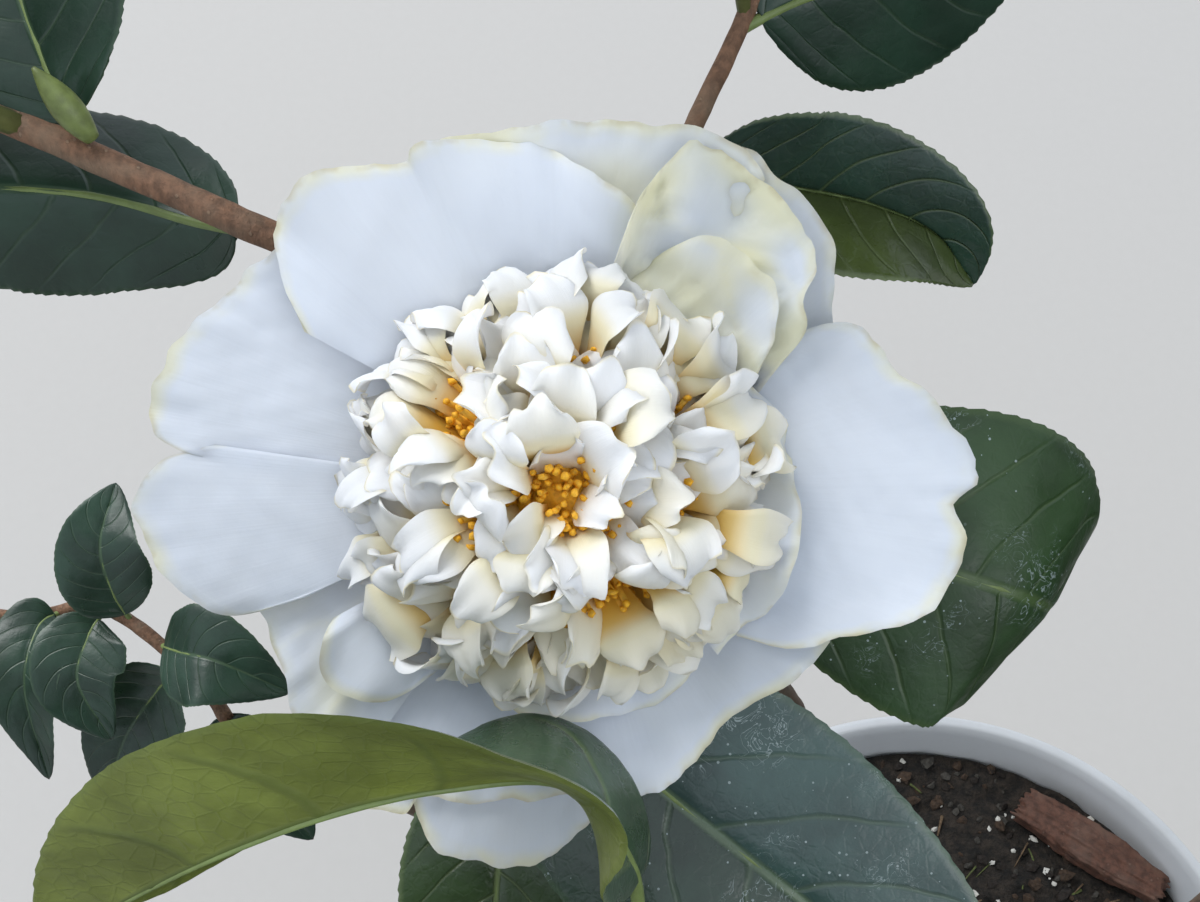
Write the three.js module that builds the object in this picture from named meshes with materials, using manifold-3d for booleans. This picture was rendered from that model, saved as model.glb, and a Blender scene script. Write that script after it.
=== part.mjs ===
// A camellia in a white pot, in millimetres with +Z up. The origin is the centre of the pot's flat
// underside. A short leaning trunk carries a leader and boughs, each limb carries a mass of leathery
// leaves, and the bough on the left carries the large bloom: wide white outer petals round a ball of
// small curled ones.

import * as THREE from "three";
import Module from "manifold-3d";

const wasm = await Module();
wasm.setup();

const vec = (x, y, z) => new THREE.Vector3(x, y, z);
const rad = THREE.MathUtils.degToRad;

// Pieces that meet keep this far apart, so that each stays a solid of its own.
const GAP = 0.3;

// The pot, a moulded tub with a rolled lip, and what fills it.
const POT = { height: 210, rim: 125, base: 90, wall: 3, lip: 15, lipOut: 4, sides: 36 };
const DRAINS = { count: 5, radius: 6, ring: 58 };
const SOIL_TOP = 190;
const SOIL_MOUND = 4;
const CHIP = { length: 62, width: 17, height: 9, x: 69, y: 73, turn: -35 };

// Leaves: a length and a half width as a share of it, and how they stand along their twigs.
const LEAF_LENGTH = 78;
const LEAF_SLIMNESS = 0.245;
const LEAF_THICKNESS = 1.1;
const PETIOLE_SHARE = 0.1;
const PETIOLE_HALF = 1.5;
const LEAF_SPACING = 19;
const LEAF_TRIES = 7;
const ROOT_SINK = 0.6;
const DIVERGENCE = 137.5;

// How far a growing leaf or twig keeps from other leaves and from the limbs.
const LEAF_CLEARANCE = 6.5;
const LIMB_CLEARANCE = 4.5;

// Twigs.
const STEM_RADIUS = 2.1;
const TWIG_RADIUS = 1.5;
const TWIG_LENGTH = 84;

// The large bloom. Its frame has x to the right, y up and z along the bloom's axis, as seen by
// someone who looks straight into it from the front of the pot.
const BLOOM_CENTRE = vec(-134.4, -17.5, 697.4);
const BLOOM_ELEVATION = 62;

// The trunk's path from the soil to the foot of the leader, and its radius at each point.
const TRUNK = [
  [vec(0, 0, SOIL_TOP), 14],
  [vec(1, -6, 225), 9.5],
  [vec(1, -16, 270), 8.6],
  [vec(3, -24, 330), 7.6],
  [vec(8, -31, 380), 6.4],
  [vec(12, -36, 425), 5.2],
];

// A fixed sequence of numbers from 0 to 1, the same wherever it is run.
function seeded(seed) {
  let state = seed;
  const next = () => {
    state = (state * 1664525 + 1013904223) % 4294967296;
    return state / 4294967296;
  };
  next();
  next();
  return { next, between: (low, high) => low + (high - low) * next() };
}

// The part of v that is square to axis, at unit length.
function squareTo(v, axis) {
  return v.clone().addScaledVector(axis, -v.dot(axis)).normalize();
}

// Two directions square to an axis and to each other.
function sidesOf(axis) {
  const first = squareTo(Math.abs(axis.z) < 0.9 ? vec(0, 0, 1) : vec(1, 0, 0), axis);
  return [first, axis.clone().cross(first)];
}

// A smooth line through points, as a function of 0 to 1.
function lineThrough(points) {
  const last = points.length - 1;
  return (t) => {
    const reach = Math.min(Math.max(t, 0), 1) * last;
    const i = Math.min(Math.floor(reach), last - 1);
    const f = reach - i;
    const p1 = points[i];
    const p2 = points[i + 1];
    const p0 = i > 0 ? points[i - 1] : p1.clone().multiplyScalar(2).sub(p2);
    const p3 = i + 2 <= last ? points[i + 2] : p2.clone().multiplyScalar(2).sub(p1);
    const b = p2.clone().sub(p0);
    const c = p0.clone().multiplyScalar(2).addScaledVector(p1, -5).addScaledVector(p2, 4).sub(p3);
    const d = p1.clone().multiplyScalar(3).addScaledVector(p2, -3).add(p3).sub(p0);
    return p1
      .clone()
      .addScaledVector(b, f / 2)
      .addScaledVector(c, (f * f) / 2)
      .addScaledVector(d, (f * f * f) / 2);
  };
}

// A line from start to tip that bows to one side by a vector.
function bowed(start, tip, bow) {
  return (t) => start.clone().lerp(tip, t).addScaledVector(bow, 4 * t * (1 - t));
}

function directionOf(line, t) {
  const step = 0.01;
  return line(Math.min(t + step, 1)).sub(line(Math.max(t - step, 0))).normalize();
}

function blend(values, t) {
  const reach = t * (values.length - 1);
  const i = Math.min(Math.floor(reach), values.length - 2);
  return values[i] + (values[i + 1] - values[i]) * (reach - i);
}

// Closed solids.
function solidFrom(positions, triangles) {
  const vertProperties = new Float32Array(positions);
  const triVerts = new Uint32Array(triangles.flat());
  return new wasm.Manifold(new wasm.Mesh({ numProp: 3, vertProperties, triVerts }));
}

function fused(solids) {
  return wasm.Manifold.union(solids);
}

// A three.js geometry as a solid, with the vertices that share a place made one.
function solidOf(geometry) {
  const source = (geometry.index ? geometry.toNonIndexed() : geometry).getAttribute("position");
  const seen = new Map();
  const positions = [];
  const indices = [];
  for (let i = 0; i < source.count; i += 1) {
    const p = vec().fromBufferAttribute(source, i);
    const key = [p.x, p.y, p.z].map((x) => Math.round(x * 1e4)).join();
    if (!seen.has(key)) {
      seen.set(key, positions.length / 3);
      positions.push(p.x, p.y, p.z);
    }
    indices.push(seen.get(key));
  }
  const triangles = [];
  for (let i = 0; i < indices.length; i += 3) {
    const [a, b, c] = indices.slice(i, i + 3);
    if (a !== b && b !== c && c !== a) {
      triangles.push([a, b, c]);
    }
  }
  return solidFrom(positions, triangles);
}

// A solid turned about the vertical from a profile of radius and height.
function turned(profile, sides) {
  const points = profile.map(([r, z]) => new THREE.Vector2(r, z));
  return solidOf(new THREE.LatheGeometry(points, sides).rotateX(Math.PI / 2));
}

// A closed tube round a line. radiusAt gives its radius from 0 at the start to 1 at the tip.
function tube(line, radiusAt, sides, steps) {
  const positions = [];
  const triangles = [];
  for (let i = 0; i <= steps; i += 1) {
    const t = i / steps;
    const [across, other] = sidesOf(directionOf(line, t));
    for (let k = 0; k < sides; k += 1) {
      const turn = (2 * Math.PI * k) / sides;
      const point = line(t)
        .addScaledVector(across, radiusAt(t) * Math.cos(turn))
        .addScaledVector(other, radiusAt(t) * Math.sin(turn));
      positions.push(point.x, point.y, point.z);
    }
  }
  for (let i = 0; i < steps; i += 1) {
    for (let k = 0; k < sides; k += 1) {
      const a = i * sides + k;
      const b = i * sides + ((k + 1) % sides);
      triangles.push([a, b, b + sides], [a, b + sides, a + sides]);
    }
  }
  const end = steps * sides;
  for (let k = 1; k < sides - 1; k += 1) {
    triangles.push([0, k + 1, k], [end, end + k, end + k + 1]);
  }
  return solidFrom(positions, triangles);
}

// A closed blade over rows of points: thick inside, and sharp all round its edge.
function blade(rows, thickness) {
  const last = rows.length - 1;
  const across = rows[0].length - 1;
  const positions = [];
  const place = (p) => {
    positions.push(p.x, p.y, p.z);
    return positions.length / 3 - 1;
  };
  const front = rows.map(() => []);
  const back = rows.map(() => []);
  rows.forEach((row, i) => {
    const pointed = row[0].distanceTo(row[across]) < 1e-6;
    row.forEach((point, j) => {
      const atEdge = i === 0 || i === last || j === 0 || j === across;
      if (atEdge) {
        front[i][j] = pointed && j > 0 ? front[i][0] : place(point);
        back[i][j] = front[i][j];
        return;
      }
      const side = row[j + 1].clone().sub(row[j - 1]);
      const normal = side.cross(rows[i + 1][j].clone().sub(rows[i - 1][j])).normalize();
      front[i][j] = place(point.clone().addScaledVector(normal, thickness / 2));
      back[i][j] = place(point.clone().addScaledVector(normal, -thickness / 2));
    });
  });
  const triangles = [];
  const add = (a, b, c) => {
    if (a !== b && b !== c && c !== a) {
      triangles.push([a, b, c]);
    }
  };
  for (let i = 0; i < last; i += 1) {
    for (let j = 0; j < across; j += 1) {
      [front, back].forEach((grid) => {
        const [a, b, c, d] = [grid[i][j], grid[i][j + 1], grid[i + 1][j + 1], grid[i + 1][j]];
        const pair = j < across / 2 ? [[a, b, d], [b, c, d]] : [[a, b, c], [a, c, d]];
        pair.forEach(([p, q, r]) => (grid === front ? add(p, q, r) : add(p, r, q)));
      });
    }
  }
  return solidFrom(positions, triangles);
}

// Leaves and petals are blades over a curved midrib. A midrib gives, at t from 0 at its root to 1 at
// its tip, a point, the direction along it, and the way that the blade's upper side faces.
function archedMidrib({ root, along, up, length, droop }) {
  const bend = rad(droop) || 1e-6;
  return (t) => {
    const angle = bend * t;
    const forward = (length * Math.sin(angle)) / bend;
    const down = (length * (1 - Math.cos(angle))) / bend;
    return {
      point: root.clone().addScaledVector(along, forward).addScaledVector(up, -down),
      along: along.clone().multiplyScalar(Math.cos(angle)).addScaledVector(up, -Math.sin(angle)),
      up: up.clone().multiplyScalar(Math.cos(angle)).addScaledVector(along, Math.sin(angle)),
    };
  };
}

// A midrib through chosen points. The rolls, in degrees along it, turn the upper side from facing the
// viewer towards the right of the midrib's own direction.
function placedMidrib(points, rolls, viewer) {
  const line = lineThrough(points);
  return (t) => {
    const along = directionOf(line, t);
    const facing = squareTo(viewer, along);
    const right = along.clone().cross(facing);
    const roll = rad(blend(rolls, t));
    const up = facing.multiplyScalar(Math.cos(roll)).addScaledVector(right, Math.sin(roll));
    return { point: line(t), along, up };
  };
}

// Half the width of a leaf at t, as a share of its greatest half width.
function leafOutline(t) {
  const q = (t - PETIOLE_SHARE) / (1 - PETIOLE_SHARE);
  return q <= 0 ? 0 : Math.pow(Math.sin(Math.PI * Math.pow(q, 0.88)), 0.74) * (1.03 - 0.1 * q);
}

// A point on a leaf, u from -1 at its left edge to 1 at its right.
function leafPoint(leaf, t, u) {
  const { point, along, up } = leaf.midrib(t);
  const side = along.clone().cross(up);
  const fold = rad(blend(u < 0 ? leaf.foldLeft : leaf.foldRight, t));
  const width = Math.max(leaf.halfWidth * leafOutline(t), PETIOLE_HALF * (1 - t));
  return point
    .addScaledVector(side, u * width * Math.cos(fold))
    .addScaledVector(up, Math.abs(u) * width * Math.sin(fold));
}

const RULED_ROWS = [0, 0.44, 1];
const PLACED_ROWS = [0, 0.14, 0.3, 0.46, 0.62, 0.78, 0.9, 1];

function leafSolid(leaf) {
  const rows = (leaf.placed ? PLACED_ROWS : RULED_ROWS).map((t) => {
    const pointed = t === 0 || t === 1;
    return [-1, 0, 1].map((u) => leafPoint(leaf, t, pointed ? 0 : u));
  });
  return blade(rows, LEAF_THICKNESS);
}

// A bloom's frame: its middle and its x, y and z vectors.
function bloomFrame(centre, axis) {
  const z = axis.clone().normalize();
  const x = squareTo(Math.abs(z.x) < 0.6 ? vec(1, 0, 0) : vec(0, 1, 0), z);
  const y = z.clone().cross(x);
  const way = (a, b, c) => vec().addScaledVector(x, a).addScaledVector(y, b).addScaledVector(z, c);
  return { x, y, z, way, at: (a, b, c) => way(a, b, c).add(centre) };
}

const bloom = bloomFrame(
  BLOOM_CENTRE,
  vec(0, -Math.cos(rad(BLOOM_ELEVATION)), Math.sin(rad(BLOOM_ELEVATION))),
);
const fromBloom = ([a, b, c]) => bloom.at(a, b, c);

// The opening round the large bloom, in its frame, is a pyramid that widens downward from a point in
// front of the bloom. No leaf grows in it but those laid there by hand and those behind the bloom.
const OPENING = {
  apex: [4.5, 4.4, 188.5],
  halfWidth: 0.36,
  halfHeight: 0.27,
  margin: 8,
  shade: { from: 232, share: 0.17 },
};
const STEM_SAMPLES = [0, 0.15, 0.3, 0.45, 0.6, 0.75, 0.9, 1];

// What a new leaf has to keep clear of: points on the leaves so far, and balls along the limbs, the
// twigs and the blooms.
const leafPoints = [];
const solidBalls = [];
const PROBE_ROWS = [0.2, 0.32, 0.44, 0.56, 0.68, 0.8, 0.97];
const PROBE_COLUMNS = [-0.95, -0.5, 0, 0.5, 0.95];

function probesOf(leaf) {
  return PROBE_ROWS.flatMap((t) => PROBE_COLUMNS.map((u) => leafPoint(leaf, t, u)));
}

function noteLine(line, radiusAt, steps, owner) {
  for (let i = 0; i <= steps; i += 1) {
    solidBalls.push({ centre: line(i / steps), radius: radiusAt(i / steps) + LIMB_CLEARANCE, owner });
  }
}

// Whether a point lies in the opening round the large bloom and isn't hidden behind it.
function inOpening(point) {
  const from = point.clone().sub(bloom.at(...OPENING.apex));
  const depth = -from.dot(bloom.z);
  const right = from.dot(bloom.x);
  const up = from.dot(bloom.y);
  const { halfWidth, halfHeight, margin, shade } = OPENING;
  const beside = Math.abs(right) < halfWidth * depth + margin;
  const between = Math.abs(up) < halfHeight * depth + margin;
  return beside && between && (depth < shade.from || Math.hypot(right, up) > shade.share * depth);
}

// Whether a point belongs to a mass: near enough to its stem.
function inSpace(point, mass, share) {
  const near = STEM_SAMPLES.some((t) => point.distanceTo(mass.stem(t)) < mass.reach * share);
  return near && !inOpening(point);
}

function isClear(points, owner) {
  return points.every(
    (p) =>
      solidBalls.every((b) => b.owner === owner || p.distanceTo(b.centre) > b.radius) &&
      leafPoints.every((q) => p.distanceTo(q) > LEAF_CLEARANCE),
  );
}

// One leaf at a share of a twig's length. It is turned on round the twig from the last one and leans
// out from it. Where it isn't clear it tries again further round, and smaller.
function growLeaf(twig, share, order, random, mass) {
  const way = directionOf(twig.line, share);
  const [aside, other] = sidesOf(way);
  let grown = null;
  for (let attempt = 0; attempt < LEAF_TRIES; attempt += 1) {
    const turn = rad(order * DIVERGENCE + attempt * 50 + random.between(-15, 15));
    const lean = rad(random.between(42, 72));
    const length = LEAF_LENGTH * random.between(0.82, 1.04) * (1 - 0.16 * share) * (1 - 0.04 * attempt);
    const droop = random.between(8, 46);
    const fold = random.between(6, 20);
    const roll = random.between(-0.3, 0.3);
    const out = aside.clone().multiplyScalar(Math.cos(turn)).addScaledVector(other, Math.sin(turn));
    const along = way.clone().multiplyScalar(Math.cos(lean)).addScaledVector(out, Math.sin(lean));
    along.z += 0.12;
    along.normalize();
    const up = squareTo(vec(0, 0, 1).addScaledVector(way, 0.5), along);
    up.addScaledVector(along.clone().cross(up), roll).normalize();
    const root = twig.line(share).addScaledVector(along, -ROOT_SINK);
    const midrib = archedMidrib({ root, along, up, length, droop });
    const folds = [fold, fold];
    const leaf = { midrib, halfWidth: length * LEAF_SLIMNESS, foldLeft: folds, foldRight: folds };
    const probes = probesOf(leaf);
    if (!grown && probes.every((p) => inSpace(p, mass, 1)) && isClear(probes, null)) {
      grown = leaf;
      leafPoints.push(...probes);
    }
  }
  return grown;
}

// The twigs of a mass: its stem, then side twigs turned round the stem as leaves are. One that would
// leave the mass's space or touch a limb or another leaf is left out.
function layTwigs(mass) {
  const random = seeded(mass.seed);
  const stem = mass.stem;
  const stemRadius = (t) => STEM_RADIUS + (TWIG_RADIUS - STEM_RADIUS) * t;
  mass.twigs = [{ line: stem, length: stem(0).distanceTo(stem(1)), radiusAt: stemRadius, bare: mass.bare }];
  for (let i = 0; i < mass.sideTwigs; i += 1) {
    const share = 0.06 + (0.84 * (i + 0.5)) / mass.sideTwigs;
    const way = directionOf(stem, share);
    const [aside, other] = sidesOf(way);
    const turn = rad(i * DIVERGENCE + random.between(-20, 20) + 60);
    const lean = rad(random.between(42, 60));
    const length = TWIG_LENGTH * random.between(0.75, 1.1) * (1 - 0.3 * share);
    const out = aside.clone().multiplyScalar(Math.cos(turn)).addScaledVector(other, Math.sin(turn));
    const heading = way.clone().multiplyScalar(Math.cos(lean)).addScaledVector(out, Math.sin(lean));
    heading.z += 0.15;
    heading.normalize();
    const start = stem(share);
    const line = bowed(start, start.clone().addScaledVector(heading, length), vec(0, 0, -1.5));
    const outer = [0.4, 0.6, 0.8, 1].map(line);
    if (outer.every((p) => inSpace(p, mass, 0.95)) && isClear(outer, mass.name)) {
      mass.twigs.push({ line, length, radiusAt: (t) => TWIG_RADIUS * (1 - 0.3 * t), bare: 0.2 });
    }
  }
  mass.twigs.forEach(({ line, radiusAt, length }) => {
    noteLine(line, radiusAt, Math.ceil(length / 9), mass.name);
  });
}

function growLeaves(mass) {
  const random = seeded(mass.seed + 1000);
  mass.leaves = [...(mass.placed ?? [])];
  mass.twigs.forEach((twig, index) => {
    const spots = Math.max(2, Math.round((twig.length * (1 - twig.bare)) / LEAF_SPACING));
    for (let k = 0; k < spots; k += 1) {
      const share = twig.bare + ((1 - twig.bare) * (k + 0.5)) / spots;
      const leaf = growLeaf(twig, share, k + index * 0.7, random, mass);
      if (leaf) {
        mass.leaves.push(leaf);
      }
    }
  });
}

function massSolid({ twigs, leaves, stemSteps = 4, petioles = [], buds = [] }) {
  return fused([
    ...twigs.map(({ line, radiusAt }, i) => tube(line, radiusAt, 3, i === 0 ? stemSteps : 2)),
    ...petioles.map((line) => tube(line, () => TWIG_RADIUS, 3, 2)),
    ...buds.map((line) => tube(line, (t) => 3.4 * Math.sin(Math.PI * (0.2 + 0.74 * t)), 5, 3)),
    ...leaves.map(leafSolid),
  ]);
}

// Blooms.
const PETAL_THICKNESS = 0.9;
const CUP_FLOOR = -15;
const CUP = { radius: 7.5, height: 5.5 };
const BALL = { floor: -5, radius: 26.5, height: 20, core: 0.76, foot: -10.2 };

// The outer petals by the angle that each points to: how far it reaches, half its width, the height
// of its edge, the notch in it, how strongly it ripples, and how high it springs from the cup.
const OUTER_PETALS = [
  { angle: 173, reach: 48, half: 24, edge: -2, notch: 3.2, ripple: 0.9, tier: 1 },
  { angle: 116, reach: 43, half: 22, edge: 2, notch: 1.5, ripple: 1.4, tier: 2 },
  { angle: 84, reach: 43, half: 17, edge: -6, notch: 1.0, ripple: 1.1, tier: 0 },
  { angle: 56, reach: 42, half: 17, edge: 2, notch: 0.5, ripple: 1.8, tier: 1 },
  { angle: 36, reach: 39, half: 15, edge: -5, notch: 0.8, ripple: 0.8, tier: 0 },
  { angle: 0, reach: 48, half: 23, edge: 1, notch: 2.6, ripple: 0.9, tier: 2 },
  { angle: -48, reach: 38, half: 18, edge: -3, notch: 0.6, ripple: 1.0, tier: 1 },
  { angle: -79, reach: 37, half: 14, edge: -7, notch: 0.5, ripple: 0.8, tier: 0 },
  { angle: -99, reach: 45.5, half: 13, edge: -9, notch: 0.4, ripple: 0.5, tier: 0 },
  { angle: -118, reach: 43, half: 11, edge: -8, notch: 0.4, ripple: 0.5, tier: 0 },
  { angle: -136, reach: 38, half: 14, edge: -3, notch: 0.8, ripple: 1.0, tier: 1 },
  { angle: -155, reach: 38, half: 13, edge: -6, notch: 0.6, ripple: 0.7, tier: 0 },
];

// A point on an outer petal: u from -1 to 1 across it, v from 0 at its root to 1 at its edge.
function petalPoint(frame, petal, scale, u, v) {
  const widen = Math.sin((Math.PI / 2) * Math.min(1, 0.12 + v / 0.68)) - 0.1 * v * v * v;
  const notch = petal.notch * Math.exp(-Math.pow((u - 0.05) / 0.13, 2));
  const ripple = petal.ripple * Math.sin(u * 7 + petal.angle);
  const reach = petal.reach * (1 - 0.3 * Math.pow(Math.abs(u), 2.6)) - notch + ripple * 0.6;
  const radius = 3 + (reach - 3) * v;
  const aside = u * petal.half * widen;
  const floor = CUP_FLOOR + petal.tier * 1.1;
  const rise = (petal.edge - floor) * Math.pow(v, 0.8);
  const wave = petal.ripple * 1.1 * v * v * Math.sin(u * 5.5 + petal.angle * 1.7);
  const height = floor + rise + 2.5 * u * u * v * (1 - 0.6 * v) + wave;
  const turn = rad(petal.angle);
  const a = radius * Math.cos(turn) - aside * Math.sin(turn);
  const b = radius * Math.sin(turn) + aside * Math.cos(turn);
  return frame.at(a * scale, b * scale, height * scale);
}

function petalSolid(frame, petal, scale, rows, columns) {
  const points = rows.map((v) => {
    return columns.map((u) => petalPoint(frame, petal, scale, v === 0 ? 0 : u, v));
  });
  return blade(points, PETAL_THICKNESS);
}

// An ellipsoid about the bloom's axis, or its part above a share of its height.
function ellipsoid(frame, middle, radius, height, sides, from = -1) {
  const heightAt = (t) => from + (1 - from) * t;
  const line = (t) => frame.at(0, 0, middle + height * heightAt(t));
  return tube(line, (t) => radius * Math.sqrt(Math.max(0.03, 1 - heightAt(t) ** 2)), sides, 4);
}

// The small petals stand in rings that lean further and further from the bloom's axis. Where the
// gaps are (x, y and radius) none grows, and the stamens show.
const BALL_RINGS = [[10, 3], [30, 6], [48, 9], [64, 11], [78, 12]];
const BALL_GAPS = [[1.5, -2.5, 4.6], [8.5, -15.5, 4.2]];

function ballPetals(frame, scale, random) {
  return BALL_RINGS.flatMap(([ringLean, count]) =>
    Array.from({ length: count }, (_, k) => {
      const lean = rad(ringLean + random.between(-6, 6));
      const turn = (2 * Math.PI * (k + random.between(-0.3, 0.3))) / count;
      const droop = random.between(-60, 70);
      const spin = random.between(-1.1, 1.1);
      const stretch = random.between(0.9, 1.06);
      const halfWidth = random.between(3.6, 5.4) * scale;
      const outward = vec(Math.cos(turn), Math.sin(turn), 0).multiplyScalar(Math.sin(lean));
      const along = outward.add(vec(0, 0, Math.cos(lean)));
      const reach = stretch / Math.hypot(Math.sin(lean) / BALL.radius, Math.cos(lean) / BALL.height);
      const facing = squareTo(vec(0.01, 0, 1), along);
      const up = facing.clone().multiplyScalar(Math.cos(spin));
      up.addScaledVector(along.clone().cross(facing), Math.sin(spin));
      const midrib = archedMidrib({
        root: frame.at(0, 0, BALL.floor * scale),
        along: frame.way(along.x, along.y, along.z),
        up: frame.way(up.x, up.y, up.z),
        length: reach * scale,
        droop,
      });
      const inGap = BALL_GAPS.some(([x, y, r]) => Math.hypot(along.x * reach - x, along.y * reach - y) < r);
      return { midrib, halfWidth, inGap };
    }),
  ).filter(({ inGap }) => !inGap);
}

function ballPetalSolid({ midrib, halfWidth }) {
  const rows = [[0.5, 0], [0.84, 1], [1, 0.6]].map(([t, share]) => {
    const { point, along, up } = midrib(t);
    const side = along.clone().cross(up).multiplyScalar(halfWidth * share);
    const lift = up.clone().multiplyScalar(0.35 * halfWidth * share);
    return [-1, 0, 1].map((u) => {
      return point.clone().addScaledVector(side, u).addScaledVector(lift, Math.abs(u));
    });
  });
  return blade(rows, PETAL_THICKNESS);
}

function ballSolid(frame, scale, petals) {
  const core = BALL.core * scale;
  const low = (BALL.foot - BALL.floor) / (BALL.height * BALL.core);
  const middle = ellipsoid(frame, BALL.floor * scale, BALL.radius * core, BALL.height * core, 9, low);
  return fused([middle, ...petals.map(ballPetalSolid)]);
}

// A bowl that all the outer petals lie under, by radius and height.
const BOWL = [[0, BALL.foot], [5, BALL.foot], [10, -8], [20, -3.6], [26, -1.4], [40, 3], [40, -30]];

function bowlSolid(frame) {
  const around = new THREE.Matrix4().makeBasis(frame.x, frame.y, frame.z).setPosition(frame.at(0, 0, 0));
  const points = BOWL.toReversed().map(([r, z]) => new THREE.Vector2(r, z));
  points.unshift(new THREE.Vector2(0, -30));
  return solidOf(new THREE.LatheGeometry(points, 12).rotateX(Math.PI / 2).applyMatrix4(around));
}

// The cup under a bloom, and the stalk up to it.
function cupSolid(frame, scale, foot) {
  const stalk = (t) => foot.clone().lerp(frame.at(0, 0, (CUP_FLOOR - 4) * scale), t);
  const { radius, height } = CUP;
  return fused([
    ellipsoid(frame, (CUP_FLOOR - 1) * scale, radius * scale, height * scale, 8),
    tube(stalk, (t) => 1.7 + 1.1 * t, 6, 2),
  ]);
}

const group = new THREE.Group();
const finish = (color, roughness) => new THREE.MeshStandardMaterial({ color, roughness, metalness: 0 });
const POT_WHITE = finish(0xdfe3e8, 0.4);
const SOIL_BROWN = finish(0x1d1813, 0.75);
const CHIP_BROWN = finish(0x5f463b, 0.75);
const BARK_BROWN = finish(0x6e4d38, 0.75);
const LEAF_GREEN = finish(0x23402b, 0.4);
const PETAL_WHITE = finish(0xe9eef5, 0.4);
const PETAL_CREAM = finish(0xf2e8cf, 0.4);

// Adds a solid as a named mesh, without the scraps that a cut leaves loose.
function addNode(name, solid, material) {
  const bodies = solid.simplify(0.02).decompose();
  const body = bodies.reduce((best, next) => (next.volume() > best.volume() ? next : best));
  const made = body.getMesh();
  const positions = new Float32Array(made.numVert * 3);
  for (let i = 0; i < made.numVert; i += 1) {
    positions.set(made.vertProperties.subarray(i * made.numProp, i * made.numProp + 3), i * 3);
  }
  const geometry = new THREE.BufferGeometry()
    .setAttribute("position", new THREE.BufferAttribute(positions, 3))
    .setIndex(new THREE.BufferAttribute(new Uint32Array(made.triVerts), 1));
  const mesh = new THREE.Mesh(geometry, material);
  mesh.name = name;
  group.add(mesh);
}

function potWallAt(z) {
  const top = POT.rim - POT.lipOut;
  return POT.base + ((top - POT.base) * z) / POT.height;
}

function addPot() {
  const { height, rim, base, wall, lip, lipOut, sides } = POT;
  const body = turned(
    [
      [0, 0],
      [base - 2, 0],
      [base, 2],
      [potWallAt(height - lip - 3), height - lip - 3],
      [rim - 1, height - lip],
      [rim, height - 3],
      [rim - 2, height],
      [rim - lipOut - 1, height],
      [potWallAt(height - 4) - wall, height - 4],
      [potWallAt(wall) - wall, wall],
      [0, wall],
    ],
    sides,
  );
  const drains = Array.from({ length: DRAINS.count }, (_, k) => {
    const turn = (2 * Math.PI * (k + 0.5)) / DRAINS.count;
    const drill = new THREE.CylinderGeometry(DRAINS.radius, DRAINS.radius, wall * 4, 6);
    drill.rotateX(Math.PI / 2);
    drill.translate(DRAINS.ring * Math.cos(turn), DRAINS.ring * Math.sin(turn), 0);
    return solidOf(drill);
  });
  addNode("pot", body.subtract(fused(drains)), POT_WHITE);
  const low = wall + GAP;
  const soil = [
    [0, low],
    [potWallAt(low) - wall - GAP, low],
    [potWallAt(SOIL_TOP) - wall - GAP, SOIL_TOP],
    [60, SOIL_TOP + SOIL_MOUND * 0.7],
    [20, SOIL_TOP + SOIL_MOUND],
    [0, SOIL_TOP + SOIL_MOUND],
  ];
  addNode("soil", turned(soil, sides), SOIL_BROWN);
}

// A chip of bark that lies on the soil: a bar with a rounded back and narrowed ends.
function addChip() {
  const { length, width, height, x, y, turn } = CHIP;
  const chip = new THREE.BoxGeometry(length, width, height, 4, 2, 1);
  const place = chip.getAttribute("position");
  for (let i = 0; i < place.count; i += 1) {
    const narrowed = 1 - 0.9 * Math.abs(place.getX(i) / length + 0.05);
    const back = 1 - 1.2 * Math.pow(place.getY(i) / width, 2);
    place.setY(i, place.getY(i) * narrowed);
    place.setZ(i, place.getZ(i) > 0 ? place.getZ(i) * back * narrowed : place.getZ(i));
  }
  chip.rotateZ(rad(turn)).rotateX(rad(-1)).rotateY(rad(1));
  chip.translate(x, y, SOIL_TOP + SOIL_MOUND * 0.5 + height / 2 - 0.7);
  addNode("bark_chip", solidOf(chip), CHIP_BROWN);
}

// Limbs by name, each with its line and its radius along it.
const limbs = new Map();

function noteLimb(name, line, radii, sides, steps) {
  const radiusAt = (t) => blend(radii, t);
  limbs.set(name, { line, radiusAt, sides, steps });
  noteLine(line, radiusAt, 28, null);
}

function limbSolid(name) {
  const { line, radiusAt, sides, steps } = limbs.get(name);
  return tube(line, radiusAt, sides, steps);
}

// A limb grown by the gap all over, to cut what springs from it.
function limbCutter(name) {
  const { line, radiusAt, sides, steps } = limbs.get(name);
  const before = line(0).addScaledVector(directionOf(line, 0), -GAP);
  const after = line(1).addScaledVector(directionOf(line, 1), GAP);
  const longer = (t) => (t <= 0 ? before.clone() : t >= 1 ? after.clone() : line(t));
  return tube(longer, (t) => radiusAt(t) + 1.2 * GAP, sides, steps);
}

// Where the left bough forks, and where the stems under the bloom meet.
const LEFT_FORK = fromBloom([41, -47, -137]);
const UNDER_BLOOM = fromBloom([1, 14, -31]);

const trunkLine = lineThrough(TRUNK.map(([point]) => point));

// The bare boughs: the share of the trunk's height where each springs, its tip, its bow, and its
// radius at both ends.
const BARE_BOUGHS = {
  bough_left: [0.5, LEFT_FORK, vec(-8, 0, 6), [5.0, 3.2]],
  bough_left_low: [0.2, vec(-228, 42, 437), vec(-6, 2, 2), [4.2, 2.4]],
};

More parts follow.
